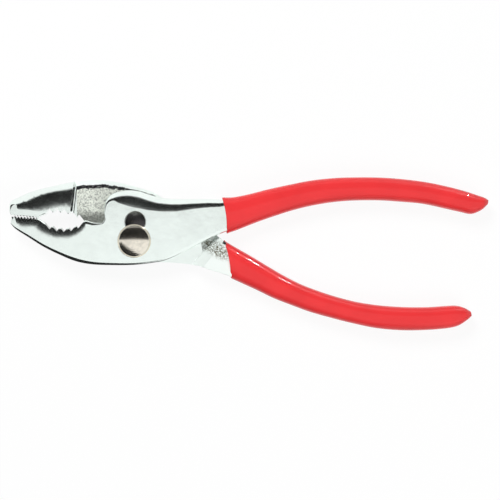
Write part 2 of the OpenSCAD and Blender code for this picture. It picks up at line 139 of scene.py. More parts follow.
class BoltSizes(bpy.types.PropertyGroup):
    """Sizes of the pivot bolt, its washer and its nut."""

    head_diameter: length("Head", "Diameter of the domed head", 12.8)
    rim_height: length("Rim", "Height of the rim under the dome", 0.5)
    dome_height: length("Dome", "Height of the dome", 1.3)
    pin_diameter: length("Pin", "Diameter of the round pin", 7.0)
    thread_diameter: length("Thread", "Diameter of the threaded end", 5.0)
    washer_diameter: length("Washer", "Outer diameter of the washer", 14.0)
    washer_bore: length("Washer bore", "Bore of the washer", 8.5)
    nut_diameter: length("Nut", "Diameter of the sunk nut", 11.0)
    nut_thickness: length("Nut thickness", "Thickness of the nut", 2.3)
    driver_width: length("Driver slot", "Width of the slot across the nut", 1.2)
    driver_depth: length("Driver depth", "Depth of the slot across the nut", 0.8)


class GripSizes(bpy.types.PropertyGroup):
    """Sizes of the dipped grips."""

    thickness: length("Grip thickness", "Front to back", 10.4)
    lip: length("Lip", "Rounding of the open edge", 0.4)
    bow: length("Bow", "How far the open edge bows towards the grip", 0.8)
    squareness: FloatProperty(
        name="Squareness", description="Of a grip's section, an ellipse at 2", default=3.0, min=1.0
    )
    sides: number("Sides", "Points round a grip", 56, 12)
    steps: number("Steps", "Rings between two stations", 8, 2)


class Finishes(bpy.types.PropertyGroup):
    """Colours of the finishes."""

    plate: colour("Plate", "Polished plated steel", (0.92, 0.985, 0.95))
    rough: colour("Rough cast", "Steel left as forged and plated over", (0.95, 0.985, 0.90))
    # Painted shade: the dark colour of the rear half's lap round the pivot, under the front half's lobe
    grease: colour("Grease", "Old grease between the halves", (0.13, 0.12, 0.125))
    bolt: colour("Bolt", "Polished bolt", (0.86, 0.80, 0.70))
    washer: colour("Washer", "Polished washer", (0.88, 0.82, 0.68))
    dip: colour("Dipped plastic", "Soft plastic of the grips", (0.855, 0.042, 0.046))
    floor: colour("Floor", "Floor and backdrop", (0.93, 0.93, 0.93))


# Outlines of the two halves and the grips

# Rows of the outlines, run anticlockwise seen from the front: x, y, edge width, edge depth, and 1 where
# the outline runs on smoothly. The jaws' x is a share of the jaw reach, their y one of the joint's width.
FRONT_JAW_UNDER = [
    (0.990, 0.206, 0.08, 0.15, 0), (0.953, 0.146, 0.14, 0.25, 1), (0.856, 0.053, 0.20, 0.35, 1),
    (0.728, -0.065, 0.24, 0.40, 1), (0.600, -0.158, 0.28, 0.45, 1), (0.472, -0.235, 0.34, 0.50, 1),
    (0.343, -0.272, 0.30, 0.45, 1), (0.183, -0.282, 0.24, 0.40, 1),
]
FRONT_BITE = [
    (0.327, 0.217, 0.25, 0.15, 1), (0.384, 0.241, 0.35, 0.20, 1), (0.408, 0.234, 0.55, 0.30, 0),
    (0.464, 0.185, 0.80, 0.32, 1), (0.528, 0.157, 0.95, 0.32, 1), (0.592, 0.157, 0.98, 0.32, 1),
    (0.652, 0.175, 0.98, 0.32, 1), (0.712, 0.210, 0.95, 0.32, 1), (0.776, 0.266, 0.86, 0.26, 1),
    (0.880, 0.281, 0.88, 0.28, 1), (0.982, 0.293, 0.75, 0.26, 0),
]
REAR_BITE = [
    (0.985, 0.302, 0.06, 0.10, 0), (0.880, 0.288, 0.10, 0.12, 1), (0.776, 0.274, 0.12, 0.12, 0),
    (0.730, 0.307, 0.12, 0.12, 1), (0.680, 0.328, 0.12, 0.12, 1), (0.616, 0.335, 0.12, 0.12, 1),
    (0.552, 0.326, 0.12, 0.12, 1), (0.488, 0.294, 0.12, 0.12, 1), (0.440, 0.256, 0.12, 0.12, 1),
    (0.392, 0.217, 0.10, 0.10, 1), (0.327, 0.189, 0.10, 0.10, 1),
]
REAR_JAW_TOP = [
    (0.279, 0.716, 0.55, 0.60, 1), (0.400, 0.710, 1.45, 0.95, 1), (0.520, 0.688, 2.06, 1.13, 1),
    (0.632, 0.651, 1.84, 0.98, 1), (0.744, 0.615, 1.85, 1.01, 1), (0.848, 0.570, 1.66, 1.13, 1),
    (0.937, 0.510, 1.10, 1.00, 1), (0.985, 0.476, 0.72, 0.85, 1), (1.000, 0.430, 0.35, 0.35, 1),
    (1.000, 0.348, 0.10, 0.15, 1),
]
# The joint's x and y are both shares of its width, with x towards the handles.
FRONT_LOBE_UNDER = [
    (-0.010, -0.279, 0.20, 0.35, 1), (0.202, -0.256, 0.18, 0.30, 1), (0.366, -0.222, 0.18, 0.30, 1),
]
FRONT_LOBE_TOP = [
    (0.331, 0.506, 1.15, 1.00, 1), (0.190, 0.539, 1.30, 1.00, 1), (0.061, 0.581, 1.42, 1.00, 1),
    (-0.069, 0.597, 1.35, 0.95, 1), (-0.186, 0.583, 1.10, 0.85, 1), (-0.281, 0.542, 0.70, 0.65, 1),
    (-0.336, 0.459, 0.25, 0.30, 1), (-0.351, 0.354, 0.10, 0.15, 1), (-0.345, 0.262, 0.10, 0.12, 1),
    (-0.375, 0.212, 0.10, 0.10, 0),
]
REAR_LOBE_UNDER = [
    (-0.363, 0.148, 0.20, 0.20, 1), (-0.286, 0.059, 0.25, 0.25, 1), (-0.257, -0.058, 0.25, 0.25, 1),
    (-0.186, -0.176, 0.25, 0.25, 1), (-0.069, -0.250, 0.25, 0.25, 1), (0.072, -0.262, 0.30, 0.30, 1),
    (0.237, -0.250, 0.40, 0.40, 1),
]
REAR_LOBE_TOP = [
    (0.508, 0.386, 0.45, 0.45, 1), (0.355, 0.491, 0.45, 0.45, 1), (0.202, 0.577, 0.45, 0.45, 1),
    (0.061, 0.624, 0.45, 0.50, 1), (-0.081, 0.663, 0.45, 0.50, 1), (-0.234, 0.698, 0.50, 0.55, 1),
]
# The handles' x is a share of the handle reach, and their y one of the rise or the drop.
FRONT_ROOT_UNDER = [
    (0.130, -0.193, 0.30, 0.35, 1), (0.176, -0.062, 0.25, 0.30, 1), (0.218, 0.057, 0.25, 0.30, 1),
]
FRONT_ROOT_TOP = [
    (0.212, 0.659, 0.72, 0.72, 1), (0.170, 0.659, 0.85, 0.80, 1), (0.122, 0.659, 1.05, 0.95, 1),
]
REAR_ROOT_UNDER = [
    (0.113, -0.244, 0.12, 0.20, 1), (0.173, -0.273, 0.05, 0.06, 1), (0.218, -0.328, 0.04, 0.04, 1),
]
REAR_ROOT_TOP = [
    (0.230, 0.066, 0.30, 0.13, 0), (0.198, 0.150, 0.32, 0.15, 1), (0.161, 0.255, 0.45, 0.45, 1),
]
# Stations along each grip: the upper edge's x and y, the lower edge's x and y, and the thickness
UPPER_GRIP = [
    (0.246, 0.685, 0.259, 0.114, 1), (0.280, 0.690, 0.291, 0.176, 1), (0.325, 0.740, 0.342, 0.287, 1),
    (0.376, 0.812, 0.396, 0.392, 1), (0.433, 0.881, 0.452, 0.489, 1), (0.495, 0.948, 0.512, 0.566, 1),
    (0.563, 0.989, 0.574, 0.616, 1), (0.630, 1.000, 0.633, 0.635, 1), (0.698, 0.995, 0.692, 0.635, 1),
    (0.763, 0.967, 0.752, 0.613, 1), (0.828, 0.919, 0.814, 0.580, 1), (0.890, 0.845, 0.873, 0.510, 1),
    (0.935, 0.778, 0.921, 0.450, 0.97), (0.966, 0.721, 0.950, 0.422, 0.90),
    (0.987, 0.681, 0.978, 0.483, 0.70), (0.998, 0.643, 0.996, 0.572, 0.30),
]
LOWER_GRIP = [
    (0.251, 0.010, 0.271, -0.418, 1), (0.286, -0.073, 0.290, -0.451, 1), (0.325, -0.161, 0.314, -0.495, 1),
    (0.370, -0.268, 0.348, -0.557, 1), (0.418, -0.380, 0.390, -0.638, 1), (0.466, -0.477, 0.441, -0.717, 1),
    (0.517, -0.556, 0.495, -0.795, 1), (0.573, -0.627, 0.554, -0.861, 1), (0.630, -0.683, 0.616, -0.923, 1),
    (0.692, -0.719, 0.684, -0.977, 1), (0.757, -0.737, 0.755, -1.000, 1), (0.825, -0.739, 0.825, -0.996, 1),
    (0.876, -0.726, 0.882, -0.977, 0.97), (0.907, -0.722, 0.913, -0.947, 0.90),
    (0.931, -0.747, 0.937, -0.888, 0.70), (0.948, -0.787, 0.951, -0.840, 0.30),
]
# How the halves thin: places along the jaws with shares of what the tip loses, and the handles' root
NOSE = [(1.02, 1.0), (0.90, 0.74), (0.75, 0.42), (0.60, 0.16), (0.45, 0.0)]
ROOT_START, ROOT_END, ROOT_DROP = 0.10, 0.246, 1.0
# Stretches along X where they thin, the length of the steps there, and that over which corners are eased
THINNED, THINNED_STEP, EASED = ((-54, -18), (10, 42)), 1.5, 6.0
# Where each half comes down to half thickness: two ends of its shoulder, and two of its ramp's foot
REAR_SHOULDER, FRONT_SHOULDER = (0.403, 0.540), (0.480, 0.480)
REAR_RAMP, FRONT_RAMP = ((0.233, 0.11), (0.186, -0.205)), ((0.140, 0.85), (0.240, -0.05))
# The run over which a ramp rises by the joint's thickness
RAMP_RUN = 10.0
# Middles of the two rows of teeth, as shares of the jaw reach
PIPE_GRIP_X, FINE_TEETH_X = -0.562, -0.885
# Step from the grip's edge down to the steel that enters it
LIP_STEP, REAR_LIP_STEP = 0.9, 0.3
# The spigot's end: shares of its width, and how far it reaches into the grip there
SPIGOT = ((0, 0.2), (0.2, 1.4), (0.5, 2.0), (0.8, 1.4), (1, 0.2))
# Where the flat ring lies that keeps the face's shading flat, in widths of the rounded edge
SUPPORT = 1.03
# How far a cutter reaches past what it cuts, to the side and in height
FAR, CLEAR = 60.0, 3.0
# Play between the parts: at the slot, at the pin and round the nut
SLOT_PLAY, PIN_PLAY, NUT_PLAY = 0.1, 0.05, 0.15
# Sides of turned holes and of turned parts
HOLE_SIDES, TURNED_SIDES = 96, 128
# Distances in metres under which points are joined: while a piece is built, and once it is whole
EXACT, WELD = 1e-7, 2e-6


def in_millimetres(rows, across, up, sizes):
    edges = (sizes.edge_width, sizes.edge_depth)
    return [(r[0] * across, r[1] * up, r[2] * edges[0], r[3] * edges[1], r[4]) for r in rows]


def unit(v):
    return v / max(np.linalg.norm(v), 1e-9)


def between(a, b, leaving, arriving, steps):
    """Points of a smooth curve from a up to, but without, b, with its run at both ends."""
    shares = np.arange(steps)[:, None] / steps
    return (
        (2 * shares**3 - 3 * shares**2 + 1) * a + (shares**3 - 2 * shares**2 + shares) * leaving
        + (3 * shares**2 - 2 * shares**3) * b + (shares**3 - shares**2) * arriving
    )


def smooth_loop(rows, steps):
    """A closed smooth curve through rows: x, y, edge width, edge depth."""
    rows = np.array(rows, float)
    count = len(rows)

    def slope(i, run):
        a, b, c = rows[i - 1], rows[i], rows[(i + 1) % count]
        return b[4] * run * (c - a) / (np.linalg.norm((b - a)[:2]) + np.linalg.norm((c - b)[:2]))

    out = []
    for i in range(count):
        j = (i + 1) % count
        run = np.linalg.norm((rows[j] - rows[i])[:2])
        out.append(between(rows[i], rows[j], slope(i, run), slope(j, run), steps))
    return np.vstack(out)[:, :4]


def grip_stations(shares, height, sizes):
    reach = sizes.handle_reach
    return np.array([(s[0] * reach, s[1] * height, s[2] * reach, s[3] * height, s[4]) for s in shares])


def drawn_in(a, b, depth):
    return a + unit(b - a) * depth


def root_rows(stations, under, over, step, sizes):
    """Rows that carry a half's outline on a little way into its grip. Under and over are its two edges."""
    rows, inside = [], (0.08, 0.08)
    corners = ((0, 0, under, 1), (2, 0, inside, 0), (2, 1, inside, 0), (0, 1, over, 1))
    for i, from_top, edge, smooth in corners:
        top, low = stations[i][:2], stations[i][2:4]
        p = drawn_in(top, low, step) if from_top else drawn_in(low, top, LIP_STEP)
        rows.append((p[0], p[1], edge[0] * sizes.edge_width, edge[1] * sizes.edge_depth, smooth))
    return rows


def front_rows(sizes):
    jaw, joint, reach = -sizes.jaw_reach, sizes.joint_width, sizes.handle_reach
    stations = grip_stations(UPPER_GRIP, sizes.handle_rise, sizes)
    return (
        in_millimetres(FRONT_JAW_UNDER, jaw, joint, sizes)
        + in_millimetres(FRONT_LOBE_UNDER, joint, joint, sizes)
        + in_millimetres(FRONT_ROOT_UNDER, reach, sizes.handle_rise, sizes)
        + root_rows(stations, (0.30, 0.35), (0.60, 0.64), LIP_STEP, sizes)
        + in_millimetres(FRONT_ROOT_TOP, reach, sizes.handle_rise, sizes)
        + in_millimetres(FRONT_LOBE_TOP, joint, joint, sizes)
        + in_millimetres(FRONT_BITE, jaw, joint, sizes)
    )


def rear_rows(sizes):
    jaw, joint, reach = -sizes.jaw_reach, sizes.joint_width, sizes.handle_reach
    stations = grip_stations(LOWER_GRIP, sizes.handle_drop, sizes)
    return (
        in_millimetres(REAR_BITE, jaw, joint, sizes)
        + in_millimetres(REAR_LOBE_UNDER, joint, joint, sizes)
        + in_millimetres(REAR_ROOT_UNDER, reach, sizes.handle_drop, sizes)
        + root_rows(stations, (0.05, 0.06), (0.30, 0.13), REAR_LIP_STEP, sizes)
        + in_millimetres(REAR_ROOT_TOP, reach, sizes.handle_drop, sizes)
        + in_millimetres(REAR_LOBE_TOP, joint, joint, sizes)
        + in_millimetres(REAR_JAW_TOP, jaw, joint, sizes)
    )


# Meshes


# Scale is a black: along the lap's step, and as painted shade and a painted dark reflection on the halves
STEEL = ("Polished plate", "Rough cast", "Cut steel", "Scale", "Satin plate")


def mesh_object(name, points, faces, finish=None):
    """A mesh object at the origin from points in millimetres. A steel one has all the steel finishes."""
    mesh = bpy.data.meshes.new(name)
    mesh.from_pydata([Vector(p) * MM for p in points], [], faces)
    mesh.validate()
    piece = bpy.data.objects.new(name, mesh)
    bpy.context.scene.collection.objects.link(piece)
    if finish:
        paint(piece, finish)
    return piece


def paint(piece, finish):
    """Gives the whole mesh one finish. Steel keeps one list of them, so that cuts can bring their own."""
    piece.data.materials.clear()
    names = STEEL if finish in STEEL else (finish,)
    for name in names:
        piece.data.materials.append(finish_named(name))
    piece.data.polygons.foreach_set("material_index", [names.index(finish)] * len(piece.data.polygons))


def tube_faces(count, rings):
    """Faces of a closed tube whose rings each have so many points, with a flat face at both ends."""
    sides = [
        (r * count + i, r * count + (i + 1) % count, (r + 1) * count + (i + 1) % count, (r + 1) * count + i)
        for r in range(rings - 1)
        for i in range(count)
    ]
    return [*sides, tuple(reversed(range(count))), tuple(range((rings - 1) * count, rings * count))]


def prism(name, outline, low, high, finish="Polished plate"):
    """An upright prism over a flat outline, between two heights."""
    points = [(x, y, z) for z in (low, high) for x, y in outline]
    piece = mesh_object(name, points, tube_faces(len(outline), 2), finish)
    outward(piece)
    return piece


def outward(piece):
    """Joins points that coincide, and turns all faces outward."""
    work = bmesh.new()
    work.from_mesh(piece.data)
    bmesh.ops.remove_doubles(work, verts=work.verts, dist=EXACT)
    bmesh.ops.recalc_face_normals(work, faces=work.faces)
    work.to_mesh(piece.data)
    work.free()


def turned(name, profile, sides, finish):
    """A solid of revolution about the pivot, from (radius, z) points run upwards along its outside."""
    points, faces, rings = [], [], []
    for radius, z in profile:
        if radius < 1e-6:
            rings.append([len(points)])
            points.append((0, 0, z))
        else:
            rings.append(list(range(len(points), len(points) + sides)))
            turns = [2 * pi * k / sides for k in range(sides)]
            points += [(radius * cos(a), radius * sin(a), z) for a in turns]
    for low, high in zip(rings, rings[1:]):
        for k in range(sides):
            j = (k + 1) % sides
            if len(low) == 1 and len(high) > 1:
                faces.append((low[0], high[j], high[k]))
            elif len(high) == 1 and len(low) > 1:
                faces.append((low[k], low[j], high[0]))
            elif len(low) > 1:
                faces.append((low[k], low[j], high[j], high[k]))
    piece = mesh_object(name, points, faces, finish)
    outward(piece)
    return piece


def cut(piece, cutter):
    """Cuts with a Boolean modifier, and keeps the plain result."""
    before = len(piece.data.polygons)
    tool = piece.modifiers.new("cut", "BOOLEAN")
    tool.operation = "DIFFERENCE"
    tool.solver = "MANIFOLD"
    tool.object = cutter
    plain(piece)
    if len(piece.data.polygons) in (0, before):
        raise RuntimeError(f"{cutter.name} didn't cut {piece.name}")
    bpy.data.objects.remove(cutter)


def plain(piece):
    """Turns a piece's modifiers into its mesh."""
    graph = bpy.context.evaluated_depsgraph_get()
    mesh = bpy.data.meshes.new_from_object(piece.evaluated_get(graph), depsgraph=graph)
    piece.modifiers.clear()
    piece.data = mesh


def shade(piece, angle=28.0):
    """Smooth shading, with creases where faces meet at more than the angle. Level faces stay flat."""
    work = bmesh.new()
    work.from_mesh(piece.data)
    bmesh.ops.remove_doubles(work, verts=work.verts, dist=WELD)
    bmesh.ops.dissolve_degenerate(work, edges=work.edges, dist=WELD)
    bmesh.ops.triangulate(work, faces=[f for f in work.faces if len(f.verts) > 4])
    bmesh.ops.recalc_face_normals(work, faces=work.faces)
    work.to_mesh(piece.data)
    work.free()
    piece.data.shade_smooth()
    piece.data.set_sharp_from_angle(angle=radians(angle))
    level = 0.99999
    for face in piece.data.polygons:
        face.use_smooth = abs(face.normal.z) < level


def finish_piece(piece, body, slot, *nodes):
    """Says on which body the piece rides and which nodes it replaces. The slot for its looks is not used."""
    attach(piece, body)
    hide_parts(*nodes)


# The two forged halves


def lost_thickness(x, sizes):
    """How far each face lies under the joint's face at x, with the profile's corners eased."""
    nose_x = np.array([-s * sizes.jaw_reach for s, _ in NOSE])
    nose_drop = np.array([share for _, share in NOSE]) * (sizes.joint_thickness - sizes.tip_thickness) / 2
    root_x = np.array([ROOT_START, ROOT_END]) * sizes.handle_reach
    around = x + np.linspace(-EASED / 2, EASED / 2, num=13)
    nose = np.interp(around, nose_x, nose_drop)
    root = np.interp(around, root_x, [0.0, ROOT_DROP])
    return float(np.mean(nose) + np.mean(root))


def crossings(ring):
    """Pairs of a closed ring's segments that cross."""
    start, run = ring, np.roll(ring, -1, axis=0) - ring
    apart = start[None] - start[:, None]
    turn = run[:, None, 0] * run[None, :, 1] - run[:, None, 1] * run[None, :, 0]
    parallel = 1e-5
    turn = np.where(np.abs(turn) < parallel, np.inf, turn)
    t = (apart[..., 0] * run[None, :, 1] - apart[..., 1] * run[None, :, 0]) / turn
    u = (apart[..., 0] * run[:, None, 1] - apart[..., 1] * run[:, None, 0]) / turn
    count = len(ring)
    i, j = np.nonzero((t > 0) & (t < 1) & (u > 0) & (u < 1))
    return [(a, b) for a, b in zip(i, j) if a + 1 < b and (a, b) != (0, count - 1)]


def untangled(loop, inward):
    """Narrows the rounded edge round sharp corners, until its inner ring no longer crosses itself."""
    loop, count, tries, narrower = loop.copy(), len(loop), 60, 0.85
    for _ in range(tries):
        found = crossings(loop[:, :2] + inward * loop[:, 2:3] * SUPPORT)
        if not found:
            return loop
        for a, b in found:
            if b - a > count / 2:
                a, b = b, a + count
            for k in range(a - 1, b + 3):
                loop[k % count, 2] *= narrower
    raise RuntimeError("the rounded edge still crosses itself")


def blank(name, rows, sizes):
    """A half at full thickness with rounded edges, thinned towards the tip and the grip."""
    loop = smooth_loop(rows, sizes.curve_steps)
    ahead, behind = np.roll(loop, -1, axis=0)[:, :2], np.roll(loop, 1, axis=0)[:, :2]
    run = (ahead - behind) / np.linalg.norm(ahead - behind, axis=1)[:, None]
    inward = np.stack([-run[:, 1], run[:, 0]], axis=1)
    loop = untangled(loop, inward)
    top, rings = sizes.joint_thickness, []
    angles = np.linspace(0, pi / 2, sizes.edge_rings + 1)

    def ring(share_in, share_down, face, up):
        place = loop[:, :2] + inward * loop[:, 2:3] * share_in
        return np.column_stack([place, face - up * loop[:, 3] * share_down])

    rings.append(ring(SUPPORT, 0, 0.0, -1))
    rings += [ring(1 - cos(a), 1 - sin(a), 0.0, -1) for a in reversed(angles)]
    rings += [ring(1 - cos(a), 1 - sin(a), top, 1) for a in angles]
    rings.append(ring(SUPPORT, 0, top, 1))
    piece = mesh_object(name, np.vstack(rings), tube_faces(len(loop), len(rings)), "Polished plate")

    work = bmesh.new()
    work.from_mesh(piece.data)
    flats = [f for f in work.faces if len(f.verts) > 4]
    bmesh.ops.triangulate(work, faces=flats, ngon_method="EAR_CLIP")
    stops = np.concatenate([np.arange(*ends, THINNED_STEP) for ends in THINNED])
    for x in stops:
        everything = work.verts[:] + work.edges[:] + work.faces[:]
        place, across = (x * MM, 0, 0), (1, 0, 0)
        bmesh.ops.bisect_plane(work, geom=everything, dist=EXACT, plane_co=place, plane_no=across)
    drops = np.array([lost_thickness(x, sizes) for x in stops])
    middle = top * MM / 2
    for v in work.verts:
        fall = np.interp(v.co.x / MM, stops, drops) * MM
        v.co.z += -fall if v.co.z > middle else fall
    work.to_mesh(piece.data)
    work.free()
    return piece


def beyond_grip(stations, sizes):
    """Cutter for all that lies beyond a grip's open edge, but for a short spigot inside the lip."""
    top, low = stations[0][:2], stations[0][2:4]
    across = unit(top - low)
    ahead = np.array([across[1], -across[0]])
    far, wide = ahead * (sizes.handle_reach + FAR), across * FAR
    corners = [low - wide, low - wide + far, top + wide + far, top + wide]
    corners += [top + (low - top) * share + ahead * reach for share, reach in SPIGOT]
    return prism("beyond", [tuple(c) for c in corners], -CLEAR, sizes.joint_thickness + CLEAR)


def lap(shoulder, ramp, face, up, finish, sizes):
    """Cutters that leave room for the other half: flat to the ramp's foot, then up the ramp."""
    foot = [np.array([p[0] * sizes.handle_reach, p[1] * sizes.handle_rise]) for p in ramp]
    along = unit(foot[1] - foot[0])
    ends = (foot[1] + along * FAR, foot[0] - along * FAR)
    front, back = (-share * sizes.jaw_reach for share in shoulder)
    outline = [(front, FAR), (back, 0.0), (back, -FAR), tuple(ends[0]), tuple(ends[1])]
    heights = (face, face + up * (sizes.joint_thickness + 2 * CLEAR))
    flat = prism("lap", outline, min(heights), max(heights), finish)
    ahead = np.array([-along[1], along[0]])
    if ahead[0] < 0:
        ahead = -ahead
    top, overlap = face + up * sizes.joint_thickness, 0.5
    points = []
    for e in ends:
        behind = e - ahead * overlap
        points += [(*behind, face), (*e, face), (*(e + ahead * RAMP_RUN), top), (*behind, top)]
    faces = [(0, 1, 2, 3), (7, 6, 5, 4), (0, 4, 5, 1), (1, 5, 6, 2), (2, 6, 7, 3), (3, 7, 4, 0)]
    slope = mesh_object("ramp", points, faces, finish if up < 0 else "Satin plate")
    outward(slope)
    return flat, slope


def ragged_floor(face, sizes):
    """Shallow cutters in the rear half's lap: a rough floor inside a plated rim, with a black step, and a
    seam at the shoulder whose black walls are painted shade.
    """
    rim, deep, over = sizes.rim_width, sizes.floor_depth, 0.1
    wide, spread, count = 1.45, 0.28, 60
    west_in, east_in, south_in, south = 0.2, 1.0, 0.6, -6.0
    seam_ends, grooves = (10.0, 22.7), ((0.0, 0.5), (1.0, 1.35))
    rows = in_millimetres(REAR_JAW_TOP[:4], -sizes.jaw_reach, sizes.joint_width, sizes)
    rows = in_millimetres(REAR_LOBE_TOP[1:], sizes.joint_width, sizes.joint_width, sizes) + rows
    crest = np.array([row[:2] for row in rows])
    crest = crest[np.argsort(crest[:, 0])]
    left = -sum(REAR_SHOULDER) / 2 * sizes.jaw_reach
    x = np.linspace(left + west_in, crest[-1, 0] - east_in, count)
    y = np.interp(x, crest[:, 0], crest[:, 1])
    ragged = np.random.default_rng(7).normal(0.0, spread, count)
    # The rim narrows by 65% towards the handles, over 20 mm from 8 mm before the pivot.
    fade = 1 - 0.65 * np.clip((x + 8.0) / 20.0, 0, 1)
    top = y - (rim - wide * over / deep) * fade - ragged
    low = y - (rim + wide) * fade - np.roll(ragged, 1)
    points = []
    for line, z in ((low, face - deep), (top, face + over)):
        points += [(*p, z) for p in (*zip(x, line), (x[-1], south), (x[0] + south_in, south))]
    floor = mesh_object("floor cutter", points, tube_faces(count + 2, 2), "Rough cast")
    # The step from the rim down to the rough floor is black.
    for i in range(count - 1):
        floor.data.polygons[i].material_index = STEEL.index("Scale")
    outward(floor)
    front, back = (-share * sizes.jaw_reach for share in REAR_SHOULDER)
    low, high = ((back + (front - back) * y / FAR, y) for y in seam_ends)
    seams = []
    # Painted shade: the seam's walls are black along the shoulder
    for start, end in grooves:
        groove = [(p[0] + away, p[1]) for p, away in ((low, start), (low, end), (high, end), (high, start))]
        seams.append(prism("seam", groove, face - 2 * deep, face + 4 * over, "Scale"))
    return [floor, *seams]


def slot_cutters(sizes):
    """The slot's holes and neck, and the broken edges round its two mouths."""
    lean = sizes.slot_lean
    step = np.array([sin(lean), cos(lean)]) * sizes.slot_step
    top, radius = sizes.joint_thickness, sizes.hole_diameter / 2
    broken, over = sizes.break_edge, 0.5
    profile = [(0.0, -CLEAR), (radius, -CLEAR), (radius, top - broken)]
    profile += [(radius + broken + over, top + over), (0.0, top + over)]
    tools = []
    for centre in (np.zeros(2), step):
        hole = turned("hole", profile, HOLE_SIDES, "Cut steel")
        hole.data.transform(Matrix.Translation(Vector((*centre, 0)) * MM))
        tools.append(hole)
    across = np.array([cos(lean), -sin(lean)]) * sizes.neck_width / 2
    outline = [tuple(-across), tuple(across), tuple(step + across), tuple(step - across)]
    tools.append(prism("neck", outline, -CLEAR, top + CLEAR, "Cut steel"))
    return tools


def notch_tree():
    """Geometry Nodes: one V notch cutter on every point, then one mesh."""
    tree = bpy.data.node_groups.new("Tooth notches", "GeometryNodeTree")
    face = tree.interface
    face.new_socket("Geometry", in_out="INPUT", socket_type="NodeSocketGeometry")
    for name, value in (("Width", 0.003), ("Height", 0.004), ("Length", 0.03), ("Point up", 0.0)):
        face.new_socket(name, in_out="INPUT", socket_type="NodeSocketFloat").default_value = value
    face.new_socket("Material", in_out="INPUT", socket_type="NodeSocketMaterial")
    face.new_socket("Geometry", in_out="OUTPUT", socket_type="NodeSocketGeometry")

    def add(kind, **values):
        node = tree.nodes.new(kind)
        for key, value in values.items():
            setattr(node, key, value)
        return node

    def join(a, b):
        tree.links.new(a, b)

    source, result = add("NodeGroupInput"), add("NodeGroupOutput")
    wedge = add("GeometryNodeMeshCylinder", fill_type="NGON")
    wedge.inputs["Vertices"].default_value = 3
    wedge.inputs["Radius"].default_value = 1.0
    wedge.inputs["Depth"].default_value = 1.0
    # The triangle's corner points along +X; it is moved so that the corner is the origin.
    shift = add("GeometryNodeTransform")
    shift.inputs["Translation"].default_value = (-1.0, 0.0, 0.0)
    size = add("ShaderNodeCombineXYZ")
    triangle_height, triangle_width = 1.5, 3**0.5
    for name, unscaled, axis in (("Height", triangle_height, "X"), ("Width", triangle_width, "Y")):
        share = add("ShaderNodeMath", operation="DIVIDE")
        share.inputs[1].default_value = unscaled
        join(source.outputs[name], share.inputs[0])
        join(share.outputs[0], size.inputs[axis])
    join(source.outputs["Length"], size.inputs["Z"])
    scale = add("GeometryNodeTransform")
    join(wedge.outputs["Mesh"], shift.inputs["Geometry"])
    join(shift.outputs["Geometry"], scale.inputs["Geometry"])
    join(size.outputs["Vector"], scale.inputs["Scale"])
    turn = add("ShaderNodeCombineXYZ")
    join(source.outputs["Point up"], turn.inputs["Z"])
    points = add("GeometryNodeMeshToPoints")
    place = add("GeometryNodeInstanceOnPoints")
    join(source.outputs["Geometry"], points.inputs["Mesh"])
    join(points.outputs["Points"], place.inputs["Points"])
    join(scale.outputs["Geometry"], place.inputs["Instance"])
    join(turn.outputs["Vector"], place.inputs["Rotation"])
    whole, paint = add("GeometryNodeRealizeInstances"), add("GeometryNodeSetMaterial")
    join(place.outputs["Instances"], whole.inputs["Geometry"])
    join(whole.outputs["Geometry"], paint.inputs["Geometry"])
    join(source.outputs["Material"], paint.inputs["Material"])
    join(paint.outputs["Geometry"], result.inputs["Geometry"])
    return tree


def notches(rows, centre, pitch, depth, count, up, finish, sizes):
    """Cutter for one row of V notches along a bite. up is 1 where they are cut from above."""
    edge = np.array([(r[0], r[1]) for r in rows])
    edge = edge[np.argsort(edge[:, 0])]
    x = centre + (np.arange(count) - (count - 1) / 2) * pitch
    y = np.interp(x, edge[:, 0], edge[:, 1]) - up * depth
    row = mesh_object("notches", [(*p, sizes.joint_thickness / 2) for p in zip(x, y)], [])
    rise, across = depth + 2.0, 40.0
    tree = bpy.data.node_groups.get("Tooth notches") or notch_tree()
    modifier = row.modifiers.new("notches", "NODES")
    modifier.node_group = tree
    values = {
        "Width": pitch * rise / depth * MM, "Height": rise * MM, "Length": across * MM,
        "Point up": -pi / 2 * up, "Material": finish_named(finish),
    }
    for item in tree.interface.items_tree:
        if item.item_type == "SOCKET" and item.in_out == "INPUT" and item.name in values:
            modifier[item.identifier] = values[item.name]
    plain(row)
    paint(row, finish)
    return row


def teeth(piece, rows, up, finish, sizes, tooth, fine_depth):
    """Cuts the pipe grip's teeth and the fine ones at the tip. The lower jaw's fine notches get black walls,
    painted shade.
    """
    for x, pitch, depth, count, walls in (
        (PIPE_GRIP_X, tooth.pitch, tooth.depth, tooth.count, finish),
        # Painted shade: black walls in the lower jaw's fine notches
        (FINE_TEETH_X, tooth.fine_pitch, fine_depth, tooth.fine_count, "Scale" if up > 0 else finish),
    ):
        cut(piece, notches(rows, x * sizes.jaw_reach, pitch, depth, count, up, walls, sizes))


# Finishes


class Sum:
    """A value in a material's node tree, with the usual arithmetic."""

    def __init__(self, tree, socket):
        self.tree, self.socket = tree, socket

    def math(self, operation, *others, swap=False):
        node = self.tree.nodes.new("ShaderNodeMath")
        node.operation = operation
        parts = [self, *others]
        if swap:
            parts.reverse()
        for place, part in zip(node.inputs, parts):
            if isinstance(part, Sum):
                self.tree.links.new(part.socket, place)
            else:
                place.default_value = part
        return Sum(self.tree, node.outputs[0])

    def __add__(self, other):
        return self.math("ADD", other)

    def __sub__(self, other):
        return self.math("SUBTRACT", other)

    def __rsub__(self, other):
        return self.math("SUBTRACT", other, swap=True)

    def __mul__(self, other):
        return self.math("MULTIPLY", other)

    def __pow__(self, other):
        return self.math("POWER", other)

    def eased(self, low, high, start=0.0, end=1.0):
        """Rises smoothly from start to end as the value goes from low to high."""
        node = self.tree.nodes.new("ShaderNodeMapRange")
        node.interpolation_type = "SMOOTHSTEP"
        node.inputs["From Min"].default_value = low
        node.inputs["From Max"].default_value = high
        node.inputs["To Min"].default_value = start
        node.inputs["To Max"].default_value = end
        self.tree.links.new(self.socket, node.inputs["Value"])
        return Sum(self.tree, node.outputs["Result"])


